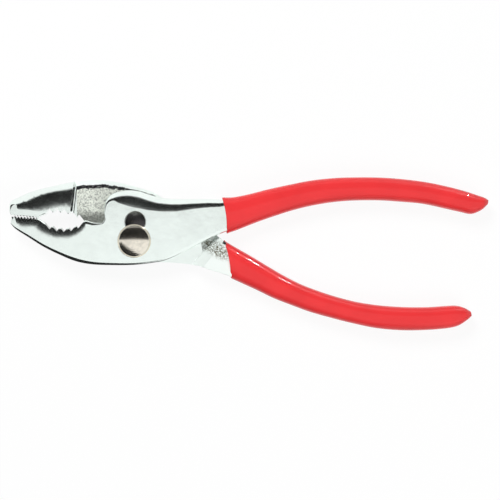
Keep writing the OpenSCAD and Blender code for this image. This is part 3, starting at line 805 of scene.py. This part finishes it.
class Finish:
    """A metal or plastic built on one Principled shader, with patterns on Object coordinates."""

    def __init__(self, name, **constants):
        self.material = bpy.data.materials.new(name)
        self.material.use_nodes = True
        self.tree = self.material.node_tree
        self.shader = self.tree.nodes["Principled BSDF"]
        for key, value in constants.items():
            self.shader.inputs[key.replace("_", " ")].default_value = value
        self.place = self.tree.nodes.new("ShaderNodeTexCoord").outputs["Object"]

    def stretched(self, x, y, z, turn=0.0):
        node = self.tree.nodes.new("ShaderNodeMapping")
        node.inputs["Scale"].default_value = (x, y, z)
        node.inputs["Rotation"].default_value = (0, 0, turn)
        self.tree.links.new(self.place, node.inputs["Vector"])
        return node.outputs[0]

    def noise(self, per_metre, detail=2.0, roughness=0.5, place=None):
        node = self.tree.nodes.new("ShaderNodeTexNoise")
        node.inputs["Scale"].default_value = per_metre
        node.inputs["Detail"].default_value = detail
        node.inputs["Roughness"].default_value = roughness
        self.tree.links.new(place or self.place, node.inputs["Vector"])
        return Sum(self.tree, node.outputs["Fac"])

    def pits(self, per_metre):
        node = self.tree.nodes.new("ShaderNodeTexVoronoi")
        node.inputs["Scale"].default_value = per_metre
        self.tree.links.new(self.place, node.inputs["Vector"])
        return Sum(self.tree, node.outputs["Distance"])

    def axis(self, letter):
        node = self.tree.nodes.new("ShaderNodeSeparateXYZ")
        self.tree.links.new(self.place, node.inputs[0])
        return Sum(self.tree, node.outputs[letter])

    def blend(self, share, a, b):
        node = self.tree.nodes.new("ShaderNodeMix")
        node.data_type = "RGBA"
        self.tree.links.new(share.socket, node.inputs["Factor"])
        for place, colour in ((node.inputs[6], a), (node.inputs[7], b)):
            if isinstance(colour, bpy.types.NodeSocket):
                self.tree.links.new(colour, place)
            else:
                place.default_value = (*colour, 1.0)
        return node.outputs[2]

    def set(self, name, value):
        self.tree.links.new(value.socket if isinstance(value, Sum) else value, self.shader.inputs[name])

    def relief(self, height, strength, metres):
        node = self.tree.nodes.new("ShaderNodeBump")
        node.inputs["Strength"].default_value = strength
        node.inputs["Distance"].default_value = metres
        self.tree.links.new(height.socket, node.inputs["Height"])
        self.set("Normal", node.outputs[0])


def tint(colour, factor):
    return tuple(min(1.0, c * factor) for c in colour)


def polished_plate(colour):
    """Bright plating over a ground forging: faint grinding lines, slow ripple, a few darker specks."""
    finish = Finish("Polished plate", Metallic=1.0)
    ripple = finish.noise(260.0, 2.0)
    lines = finish.noise(1.0, 3.0, 0.6, finish.stretched(700.0, 5200.0, 1500.0, 0.35))
    specks = finish.noise(2600.0, 2.0, 0.6).eased(0.70, 0.76)
    cloud = finish.noise(90.0, 4.0, 0.6).eased(0.35, 0.7)
    finish.set("Base Color", finish.blend(cloud * 0.5 + specks * 0.5, colour, tint(colour, 0.92)))
    finish.set("Roughness", lines * 0.06 + ripple * 0.05 + 0.10)
    finish.relief(ripple * 0.8 + lines * 0.05, 0.10, 0.0004)
    return finish.material


def rough_cast(colour, grease):
    """The laps, left as forged: finely pitted and speckled, with painted shade round the pivot, under the
    front half's lobe, and a painted shadow low on the jaws' side, by the front half's edge.
    """
    finish = Finish("Rough cast")
    grain = finish.noise(2400.0, 3.0, 0.7)
    specks = finish.noise(1700.0, 4.0, 0.85).eased(0.49, 0.61)
    blotch = finish.noise(300.0, 3.0, 0.6)
    # Places in metres: off the pivot, where the painted shade ends; low in the lap, where a painted shadow of
    # the front half's edge lies; and towards the jaws and the handles
    x, y = finish.axis("X"), finish.axis("Y")
    away = ((x * x + y * y) ** 0.5 + blotch * 0.004).eased(0.0125, 0.0165)
    hollow_shadow = (y * -1.0 + blotch * 0.004).eased(-0.0115, -0.0075)
    by_jaws = (x * -1.0).eased(0.009, 0.013)
    by_handles = x.eased(0.012, 0.018)
    # Real dark specks, fewer towards the handles, and the painted shadow low on the jaws' side
    dark = specks * (1 - by_handles * 0.75) + hollow_shadow * by_jaws * 0.8
    specked_and_shaded = finish.blend(dark.math("MINIMUM", 1.0), colour, tint(colour, 0.22))
    # Painted shade round the pivot, under the front half's lobe
    finish.set("Base Color", finish.blend(away, grease, specked_and_shaded))
    finish.set("Metallic", away * 0.30 + 0.1)
    finish.set("Roughness", grain * 0.3 + 0.38)
    finish.relief(grain * 0.5 + specks * -0.6, 0.6, 0.00020)
    return finish.material


def satin_plate(colour):
    """Plated but not polished: the lap's rim, the ramp and the lower handle's root, dirty by its grip."""
    finish = Finish("Satin plate", IOR=1.35)
    # The patch's middle, in metres, and the slope along which it is drawn out
    middle_x, middle_y, slope_x, slope_y = 0.0335, -0.0030, 0.875, -0.485
    x, y = finish.axis("X") - middle_x, finish.axis("Y") - middle_y
    along, across = x * slope_x + y * slope_y, y * slope_x - x * slope_y
    blotch = finish.noise(420.0, 3.0, 0.7)
    away = (along * along * 0.12 + across * across) ** 0.5 + blotch * 0.003
    patch = away.eased(0.0028, 0.0056, 1.0, 0.0)
    pits = finish.noise(1400.0, 4.0, 0.8).eased(0.45, 0.56)
    grain = finish.noise(3000.0, 2.0, 0.6)
    finish.set("Base Color", finish.blend(patch * pits, colour, (0.12, 0.11, 0.06)))
    finish.set("Metallic", patch * -0.05 + 0.1)
    finish.set("Roughness", grain * 0.08 + 0.5)
    finish.relief(grain * 0.1 - patch * pits, 0.5, 0.0002)
    return finish.material


def scale(colour):
    """Black, broken by bright metal: along the lap's rough step, as painted shade in the shoulder's seam and
    the lower jaw's fine notches, and as a painted dark reflection on the lower handle's root.
    """
    finish = Finish("Scale", Metallic=0.5)
    crumbs = finish.noise(1600.0, 4.0, 0.8)
    finish.set("Base Color", finish.blend(crumbs.eased(0.55, 0.70), (0.012, 0.012, 0.014), colour))
    finish.set("Roughness", crumbs * 0.3 + 0.45)
    finish.relief(crumbs, 0.8, 0.0003)
    return finish.material


def cut_steel(colour):
    """Freshly cut walls: teeth, slot and bores, with tool marks and soot in the hollows."""
    finish = Finish("Cut steel", Metallic=1.0)
    marks = finish.noise(1.0, 3.0, 0.6, finish.stretched(5200.0, 900.0, 5200.0))
    soot = finish.noise(900.0, 3.0, 0.6)
    finish.set("Base Color", finish.blend(soot.eased(0.35, 0.75), tint(colour, 0.45), tint(colour, 0.85)))
    finish.set("Roughness", marks * 0.16 + 0.24)
    finish.relief(marks, 0.35, 0.00012)
    return finish.material


def turned_steel(name, colour, roughness, seat=None):
    """A polished turned part: rings of tool marks, a faint stain, and painted shade inside the seat's radius,
    in the crease round the bolt's head.
    """
    finish = Finish(name, Metallic=1.0)
    x, y = finish.axis("X"), finish.axis("Y")
    radius = (x * x + y * y) ** 0.5
    rings = (radius * 9000.0 + finish.noise(500.0, 2.0) * 2.0).math("SINE")
    stain = finish.noise(480.0, 4.0, 0.65)
    clean = finish.blend(stain.eased(0.4, 0.75), colour, tint(colour, 0.80))
    # Painted shade: near black inside the seat's radius, where the bolt's head sits on the washer
    if seat:
        away = (radius + stain * 0.0002).eased(seat, seat + 0.00022)
        clean = finish.blend(away, (0.03, 0.025, 0.025), clean)
    finish.set("Base Color", clean)
    finish.set("Roughness", rings * 0.015 + stain * 0.10 + roughness)
    finish.relief(rings * 0.4 + stain, 0.10, 0.00008)
    return finish.material


def dipped_plastic(colour):
    """Glossy soft plastic: slow sagging ripple of the dip, fine bloom, small trapped bubbles."""
    coat = {"Coat_Weight": 0.4, "Coat_Roughness": 0.02, "Coat_IOR": 1.4}
    finish = Finish("Dipped plastic", Metallic=0.0, IOR=1.3, **coat)
    sag = finish.noise(95.0, 2.0, 0.4)
    bloom = finish.noise(1400.0, 3.0, 0.6)
    bubbles = finish.pits(900.0).eased(0.0, 0.10, 1.0, 0.0)
    finish.set("Base Color", finish.blend(sag.eased(0.3, 0.75), colour, tint(colour, 0.93)))
    finish.set("Roughness", bloom * 0.12 + 0.34)
    finish.relief(sag + bubbles * 0.05 + bloom * 0.02, 0.22, 0.0008)
    return finish.material


def finish_named(name):
    """The material of that name, made when it is first asked for."""
    made = bpy.data.materials.get(name)
    if made:
        return made
    colours = bpy.context.scene.pliers_finishes
    head_radius = bpy.context.scene.pliers_bolt.head_diameter / 2
    makers = {
        "Polished plate": lambda: polished_plate(tuple(colours.plate)),
        "Rough cast": lambda: rough_cast(tuple(colours.rough), tuple(colours.grease)),
        "Cut steel": lambda: cut_steel(tuple(colours.plate)),
        "Scale": lambda: scale(tuple(colours.rough)),
        "Satin plate": lambda: satin_plate(tuple(colours.plate)),
        "Bolt steel": lambda: turned_steel("Bolt steel", tuple(colours.bolt), 0.10),
        "Washer steel": lambda: turned_steel("Washer steel", tuple(colours.washer), 0.16, head_radius),
        "Dipped plastic": lambda: dipped_plastic(tuple(colours.dip)),
    }
    return makers[name]()


# Pieces and stage


class PLIERS_OT_front_half(bpy.types.Operator):
    """Build the front half: lower jaw, slotted lobe and the root of the upper handle"""

    bl_idname = "pliers.front_half"
    bl_label = "Front Half"

    def execute(self, context):
        sizes, tooth = measures(context.scene.pliers_forging), measures(context.scene.pliers_teeth)
        piece = blank("front_half_forging", front_rows(sizes), sizes)
        stations = grip_stations(UPPER_GRIP, sizes.handle_rise, sizes)
        cut(piece, beyond_grip(stations, sizes))
        face = sizes.joint_thickness / 2 + sizes.face_gap / 2
        for tool in lap(FRONT_SHOULDER, FRONT_RAMP, face, -1, "Rough cast", sizes):
            cut(piece, tool)
        for tool in slot_cutters(sizes):
            cut(piece, tool)
        bite = in_millimetres(FRONT_BITE, -sizes.jaw_reach, sizes.joint_width, sizes)
        teeth(piece, bite, 1, "Cut steel", sizes, tooth, tooth.fine_depth)
        shade(piece)
        finish_piece(piece, "front", "plated_steel", "front_half")
        return {"FINISHED"}


def dull_lap(piece, face, sizes):
    """Takes the polish off the lap's rim and the handle's root, and paints the root's upper rounded edge
    black, a painted dark reflection.
    """
    shoulder, root = -REAR_SHOULDER[1] * sizes.jaw_reach, 0.17 * sizes.handle_reach
    rim, near, upward, level = 0.45 * sizes.joint_width, 0.1, 0.5, 0.9995
    bevel_lean = (0.02, 0.03, 0.1)
    for part in piece.data.polygons:
        x, y, z = part.center / MM
        on_root, on_rim = x > root, x > shoulder and y > rim and abs(z - face) < near
        on_bevel = z > face and all(lean > least for lean, least in zip(part.normal, bevel_lean))
        # Painted dark reflection: the root's upper rounded edge is black
        if on_root and on_bevel:
            part.material_index = STEEL.index("Scale")
        elif part.material_index == STEEL.index("Polished plate") and (on_root or on_rim):
            if part.normal.z > (upward if on_root else level):
                part.material_index = STEEL.index("Satin plate")


class PLIERS_OT_rear_half(bpy.types.Operator):
    """Build the rear half: upper jaw, bored lobe and the root of the lower handle"""

    bl_idname = "pliers.rear_half"
    bl_label = "Rear Half"

    def execute(self, context):
        sizes, tooth = measures(context.scene.pliers_forging), measures(context.scene.pliers_teeth)
        bolt = measures(context.scene.pliers_bolt)
        piece = blank("rear_half_forging", rear_rows(sizes), sizes)
        stations = grip_stations(LOWER_GRIP, sizes.handle_drop, sizes)
        cut(piece, beyond_grip(stations, sizes))
        face = sizes.joint_thickness / 2 - sizes.face_gap / 2
        for tool in lap(REAR_SHOULDER, REAR_RAMP, face, 1, "Polished plate", sizes):
            cut(piece, tool)
        for tool in ragged_floor(face, sizes):
            cut(piece, tool)
        bore, seat = bolt.pin_diameter / 2 + PIN_PLAY, bolt.nut_diameter / 2 + NUT_PLAY
        nut, high, broken = bolt.nut_thickness, sizes.joint_thickness + CLEAR, 0.3
        profile = [(0.0, -broken), (seat + 2 * broken, -broken), (seat, broken), (seat, nut), (bore, nut)]
        profile += [(bore, high), (0.0, high)]
        cut(piece, turned("bore", profile, HOLE_SIDES, "Cut steel"))
        bite = in_millimetres(REAR_BITE, -sizes.jaw_reach, sizes.joint_width, sizes)
        teeth(piece, bite, -1, "Polished plate", sizes, tooth, tooth.upper_depth)
        shade(piece)
        dull_lap(piece, face, sizes)
        finish_piece(piece, "rear", "plated_steel", "rear_half")
        return {"FINISHED"}


class PLIERS_OT_pivot_bolt(bpy.types.Operator):
    """Build the domed bolt with its flat sided shank, round pin and threaded end"""

    bl_idname = "pliers.pivot_bolt"
    bl_label = "Pivot Bolt"

    def execute(self, context):
        sizes, bolt = measures(context.scene.pliers_forging), measures(context.scene.pliers_bolt)
        head, radius = cad_top("washer"), bolt.head_diameter / 2
        nut, middle = bolt.nut_thickness, sizes.joint_thickness / 2
        thread, pin = bolt.thread_diameter / 2, bolt.pin_diameter / 2
        shank, flat = sizes.hole_diameter / 2 - SLOT_PLAY, sizes.neck_width / 2 - SLOT_PLAY
        soft, step, chamfer, mark, mark_rim = 0.15, 0.2, 0.25, 0.5, 0.9
        profile = [
            (0.0, chamfer), (mark, chamfer), (mark_rim, 0.0), (thread - chamfer, 0.0), (thread, chamfer),
            (thread, nut), (pin - step, nut), (pin, nut + step), (pin, middle), (shank, middle),
            (shank, head), (radius - soft, head), (radius, head + soft),
            (radius, head + bolt.rim_height - soft),
        ]
        crown = (radius**2 + bolt.dome_height**2) / (2 * bolt.dome_height)
        base = head + bolt.rim_height + bolt.dome_height - crown
        turns = np.linspace(np.arcsin((radius - soft) / crown), 0.0, 36)[:-1]
        profile += [(crown * sin(a), base + crown * cos(a)) for a in turns]
        profile.append((0.0, base + crown))
        piece = turned("pivot_bolt_turned", profile, TURNED_SIDES, "Bolt steel")
        wide = 8.0
        for side in (1, -1):
            near, far = side * flat, side * wide
            corners = [(near, -wide), (far, -wide), (far, wide), (near, wide)]
            slab = prism("flat", corners, middle, head, "Bolt steel")
            slab.data.transform(Matrix.Rotation(-sizes.slot_lean, 4, "Z"))
            cut(piece, slab)
        shade(piece)
        finish_piece(piece, "pivot", "bolt_steel", "pivot_bolt")
        return {"FINISHED"}


class PLIERS_OT_washer(bpy.types.Operator):
    """Build the thin washer that shows round the bolt's head"""

    bl_idname = "pliers.washer"
    bl_label = "Washer"

    def execute(self, context):
        bolt = measures(context.scene.pliers_bolt)
        low, high = cad_bottom("washer"), cad_top("washer")
        outer, bore = bolt.washer_diameter / 2, bolt.washer_bore / 2
        broken, soft, turns = 0.1, 0.22, np.linspace(0, pi / 2, 8)
        profile = [(bore, low), (outer - broken, low), (outer, low + broken)]
        profile += [(outer - soft + soft * cos(a), high - soft + soft * sin(a)) for a in turns]
        profile += [(bore, high), (bore, low)]
        piece = turned("washer_ring", profile, TURNED_SIDES, "Washer steel")
        shade(piece)
        finish_piece(piece, "washer", "washer_steel", "washer")
        return {"FINISHED"}


class PLIERS_OT_pivot_nut(bpy.types.Operator):
    """Build the round sunk nut with its driver slot"""

    bl_idname = "pliers.pivot_nut"
    bl_label = "Pivot Nut"

    def execute(self, context):
        bolt = measures(context.scene.pliers_bolt)
        outer, thread, high = bolt.nut_diameter / 2, bolt.thread_diameter / 2, bolt.nut_thickness
        chamfer, broken, half, wide = 0.25, 0.3, bolt.driver_width / 2, 9.0
        profile = [(thread + chamfer, 0.0), (outer - broken, 0.0), (outer, broken), (outer, high)]
        profile += [(thread, high), (thread, chamfer), profile[0]]
        piece = turned("pivot_nut_turned", profile, TURNED_SIDES, "Bolt steel")
        slot = [(-wide, -half), (wide, -half), (wide, half), (-wide, half)]
        cut(piece, prism("driver", slot, -CLEAR, bolt.driver_depth, "Bolt steel"))
        shade(piece)
        finish_piece(piece, "pivot", "bolt_steel", "pivot_nut")
        return {"FINISHED"}


def dipped(name, shares, height, context):
    """A dipped grip: rings along its stations, a rolled lip at the open end and a soft closed end."""
    sizes, grip = measures(context.scene.pliers_forging), measures(context.scene.pliers_grips)
    rows = grip_stations(shares, height, sizes)
    path = []
    for i in range(len(rows) - 1):
        before, after = rows[max(i - 1, 0)], rows[min(i + 2, len(rows) - 1)]
        start = (rows[i + 1] - before) / (2 if i else 1)
        end = (after - rows[i]) / (2 if i + 2 < len(rows) else 1)
        path += list(between(rows[i], rows[i + 1], start, end, grip.steps))
    path.append(rows[-1])
    middle = sizes.joint_thickness / 2

    def section(row, inset, ahead=0.0, bow=0.0):
        top, low = row[:2], row[2:4]
        across = unit(top - low)
        forward = np.array([across[1], -across[0]])
        half = np.linalg.norm(top - low) / 2 - inset
        deep = row[4] * grip.thickness / 2 - inset
        points = []
        for k in range(grip.sides):
            a = 2 * pi * k / grip.sides
            u = np.sign(cos(a)) * abs(cos(a)) ** (2 / grip.squareness) * half
            w = np.sign(sin(a)) * abs(sin(a)) ** (2 / grip.squareness) * deep
            place = (top + low) / 2 + across * u + forward * (ahead + bow * (1 - (u / half) ** 2))
            points.append((place[0], place[1], middle + w))
        return points

    lip, skin, bow, fading, past_lip = grip.lip, 0.03, grip.bow, 9, 1.6
    # Two rings inside the mouth, then its rolled lip
    rings = [section(path[0], lip + inset, ahead, bow) for inset, ahead in ((0.5, 1.0), (0.3, 0.15))]
    for a in np.linspace(0.0, pi / 2, 7):
        rings.append(section(path[0], skin + lip * (1 - sin(a)), lip * (1 - cos(a)), bow))
    # The lip's bow fades out over the first rings behind it.
    start = next(i for i, row in enumerate(path) if np.linalg.norm(row[:2] - path[0][:2]) > lip * past_lip)
    for k, row in enumerate(path[start:]):
        rings.append(section(row, skin, 0.0, bow * max(0.0, 1 - k / fading)))
    # The end closes over in a few shrinking rings.
    last, run, reach = path[-1], path[-1] - path[-2], 0.1
    heart, ahead = (last[:2] + last[2:4]) / 2, (run[:2] + run[2:4]) / 2 * reach
    for share in (0.25, 0.5, 0.72, 0.9):
        left = (1 - share**2) ** 0.5
        edges = [heart + ahead * share + (edge - heart) * left for edge in (last[:2], last[2:4])]
        rings.append(section(np.array([*edges[0], *edges[1], last[4] * left]), skin))
    points = [p for ring in rings for p in ring]
    piece = mesh_object(name, points, tube_faces(grip.sides, len(rings)), "Dipped plastic")
    outward(piece)
    shade(piece, angle=60.0)
    return piece


class PLIERS_OT_grips(bpy.types.Operator):
    """Build the two dipped grips"""

    bl_idname = "pliers.grips"
    bl_label = "Dipped Grips"

    def execute(self, context):
        sizes = measures(context.scene.pliers_forging)
        upper = dipped("upper_grip_dip", UPPER_GRIP, sizes.handle_rise, context)
        finish_piece(upper, "front", "dipped_plastic", "upper_grip")
        lower = dipped("lower_grip_dip", LOWER_GRIP, sizes.handle_drop, context)
        finish_piece(lower, "rear", "dipped_plastic", "lower_grip")
        return {"FINISHED"}


def sheet(name, low, high, z):
    """A level rectangle between two corners."""
    corners = [(*low, z), (high[0], low[1], z), (*high, z), (low[0], high[1], z)]
    return mesh_object(name, corners, [(0, 1, 2, 3)])


def card(name, rows, azimuth, width):
    """A curved card for the tool to mirror, 1 m off. Its rows: degrees off the zenith, and a tone."""
    turn, points, tones = Matrix.Rotation(radians(azimuth - 90), 3, "Z"), [], []
    for zenith, tone in rows:
        for x in (-width / 2, width / 2):
            points.append(turn @ Vector((x, sin(radians(zenith)), cos(radians(zenith)))) / MM)
            tones.append(tone)
    faces = [(2 * i, 2 * i + 1, 2 * i + 3, 2 * i + 2) for i in range(len(rows) - 1)]
    for_mirrors(mesh_object(name, points, faces), tones)


def for_mirrors(piece, tones):
    """Makes a mesh glow with a tone per point, seen only in reflections."""
    piece.data.attributes.new("tone", "FLOAT", "POINT").data.foreach_set("value", tones)
    material = bpy.data.materials.new(piece.name)
    material.use_nodes = True
    tree = material.node_tree
    tree.nodes.remove(tree.nodes["Principled BSDF"])
    glow, tone = tree.nodes.new("ShaderNodeEmission"), tree.nodes.new("ShaderNodeAttribute")
    tone.attribute_name = "tone"
    tree.links.new(tone.outputs["Fac"], glow.inputs["Color"])
    tree.links.new(glow.outputs[0], tree.nodes["Material Output"].inputs["Surface"])
    piece.data.materials.append(material)
    piece.visible_camera = False
    piece.visible_diffuse = False
    piece.visible_shadow = False
    piece.visible_transmission = False


def two_faced(tree, lighting, seen, output, share, *rays):
    """Lights the scene with one shader, and shows a share of the other to these kinds of rays."""
    path = tree.nodes.new("ShaderNodeLightPath")
    amount = Sum(tree, path.outputs[rays[0]])
    for ray in rays[1:]:
        amount = amount.math("MAXIMUM", Sum(tree, path.outputs[ray]))
    mix = tree.nodes.new("ShaderNodeMixShader")
    tree.links.new((amount * share).socket, mix.inputs[0])
    tree.links.new(lighting.outputs[0], mix.inputs[1])
    tree.links.new(seen.outputs[0], mix.inputs[2])
    tree.links.new(mix.outputs[0], tree.nodes[output].inputs["Surface"])


class PLIERS_OT_stage(bpy.types.Operator):
    """Lay the floor, set the lights and place the camera over the pliers"""

    bl_idname = "pliers.stage"
    bl_label = "Stage"

    def execute(self, context):
        scene = context.scene
        colours = scene.pliers_finishes
        half, drop = 1500.0, 0.02
        floor = sheet("floor", (-half, -half), (half, half), -drop)
        material = bpy.data.materials.new("Pale floor")
        material.use_nodes = True
        tree = material.node_tree
        matt, white = tree.nodes["Principled BSDF"], tree.nodes.new("ShaderNodeEmission")
        matt.inputs["Base Color"].default_value = (*colours.floor, 1.0)
        matt.inputs["Roughness"].default_value = 0.9
        rays = ("Is Camera Ray", "Is Glossy Ray", "Is Transmission Ray")
        two_faced(tree, matt, white, "Material Output", 0.92, *rays)
        floor.data.materials.append(material)

        world = bpy.data.worlds.new("Studio")
        scene.world = world
        world.use_nodes = True
        tree = world.node_tree
        soft, seen = tree.nodes["Background"], tree.nodes.new("ShaderNodeBackground")
        soft.inputs["Strength"].default_value = 0.75
        seen.inputs["Color"].default_value = (0.985, 1.0, 0.995, 1.0)
        two_faced(tree, soft, seen, "World Output", 1.0, "Is Camera Ray", "Is Glossy Ray")

        middle = Vector((0.04, 0, 0))
        for name, place, size, power in (
            ("Key", (-0.35, 0.75, 0.95), 0.5, 14.0),
            ("Fill", (0.55, -0.65, 0.85), 0.7, 8.0),
        ):
            lamp = bpy.data.lights.new(name, "AREA")
            lamp.size = size
            lamp.energy = power
            holder = bpy.data.objects.new(name, lamp)
            scene.collection.objects.link(holder)
            holder.location = place
            holder.rotation_euler = (middle - Vector(place)).to_track_quat("-Z", "Y").to_euler()
            holder.visible_glossy = False

        # One dark card over the upper side of the tool, and one low down to the lower left
        fading = ((3.8, 0.90), (4.8, 0.40), (6.4, 0.10), (10.0, 0.03), (34.0, 0.012), (44.0, 0.02))
        card("Dark card", fading, 90, 3.2)
        card("Low dark card", ((28.5, 0.03), (50.0, 0.015), (96.0, 0.02)), 236, 1.3)

        # A small bright window, for the streak that the lower grip shows
        card("Bright window", ((60.0, 250.0), (67.0, 250.0)), 56.9, 0.032)

        # A dark strip low over the floor, which only the edges of the lower jaw's side mirror
        strip = sheet("Floor dark card", (-900, -1000), (26, 4), 0.03)
        for_mirrors(strip, [0.02] * 4)

        eye = bpy.data.cameras.new("Camera")
        eye.lens = 150.0
        eye.sensor_width = 36.0
        eye.clip_start, eye.clip_end = 0.01, 20.0
        camera = bpy.data.objects.new("Camera", eye)
        scene.collection.objects.link(camera)
        # Straight over the tool, so far off that the picture is this wide halfway up the joint
        over_x, over_y, picture_width, halfway = 0.04836, -0.00376, 0.21, 0.0052
        camera.location = (over_x, over_y, halfway + picture_width * eye.lens / eye.sensor_width)
        scene.camera = camera
        scene.view_settings.view_transform = "Standard"
        return {"FINISHED"}


class PLIERS_PT_panel(bpy.types.Panel):
    """The pieces of the pliers"""

    bl_label = "Slip Joint Pliers"
    bl_idname = "PLIERS_PT_panel"
    bl_space_type = "VIEW_3D"
    bl_region_type = "UI"
    bl_category = "Pliers"

    def draw(self, context):
        for piece in PIECES:
            self.layout.operator(piece.bl_idname)
        for name, kind in GROUPS.items():
            box = self.layout.box()
            for key in kind.__annotations__:
                box.prop(getattr(context.scene, name), key)


PIECES = (
    PLIERS_OT_front_half, PLIERS_OT_rear_half, PLIERS_OT_pivot_bolt, PLIERS_OT_washer, PLIERS_OT_pivot_nut,
    PLIERS_OT_grips, PLIERS_OT_stage,
)
GROUPS = {
    "pliers_forging": ForgingSizes, "pliers_teeth": ToothSizes, "pliers_bolt": BoltSizes,
    "pliers_grips": GripSizes, "pliers_finishes": Finishes,
}


def register():
    for group in GROUPS.values():
        bpy.utils.register_class(group)
    for name, group in GROUPS.items():
        setattr(bpy.types.Scene, name, PointerProperty(type=group))
    for part in (*PIECES, PLIERS_PT_panel):
        bpy.utils.register_class(part)


def unregister():
    for part in reversed((*PIECES, PLIERS_PT_panel)):
        bpy.utils.unregister_class(part)
    for name in GROUPS:
        delattr(bpy.types.Scene, name)
    for group in reversed(list(GROUPS.values())):
        bpy.utils.unregister_class(group)


def main():
    register()
    for piece in PIECES:
        family, name = piece.bl_idname.split(".")
        getattr(getattr(bpy.ops, family), name)()


if __name__ == "__main__":
    main()
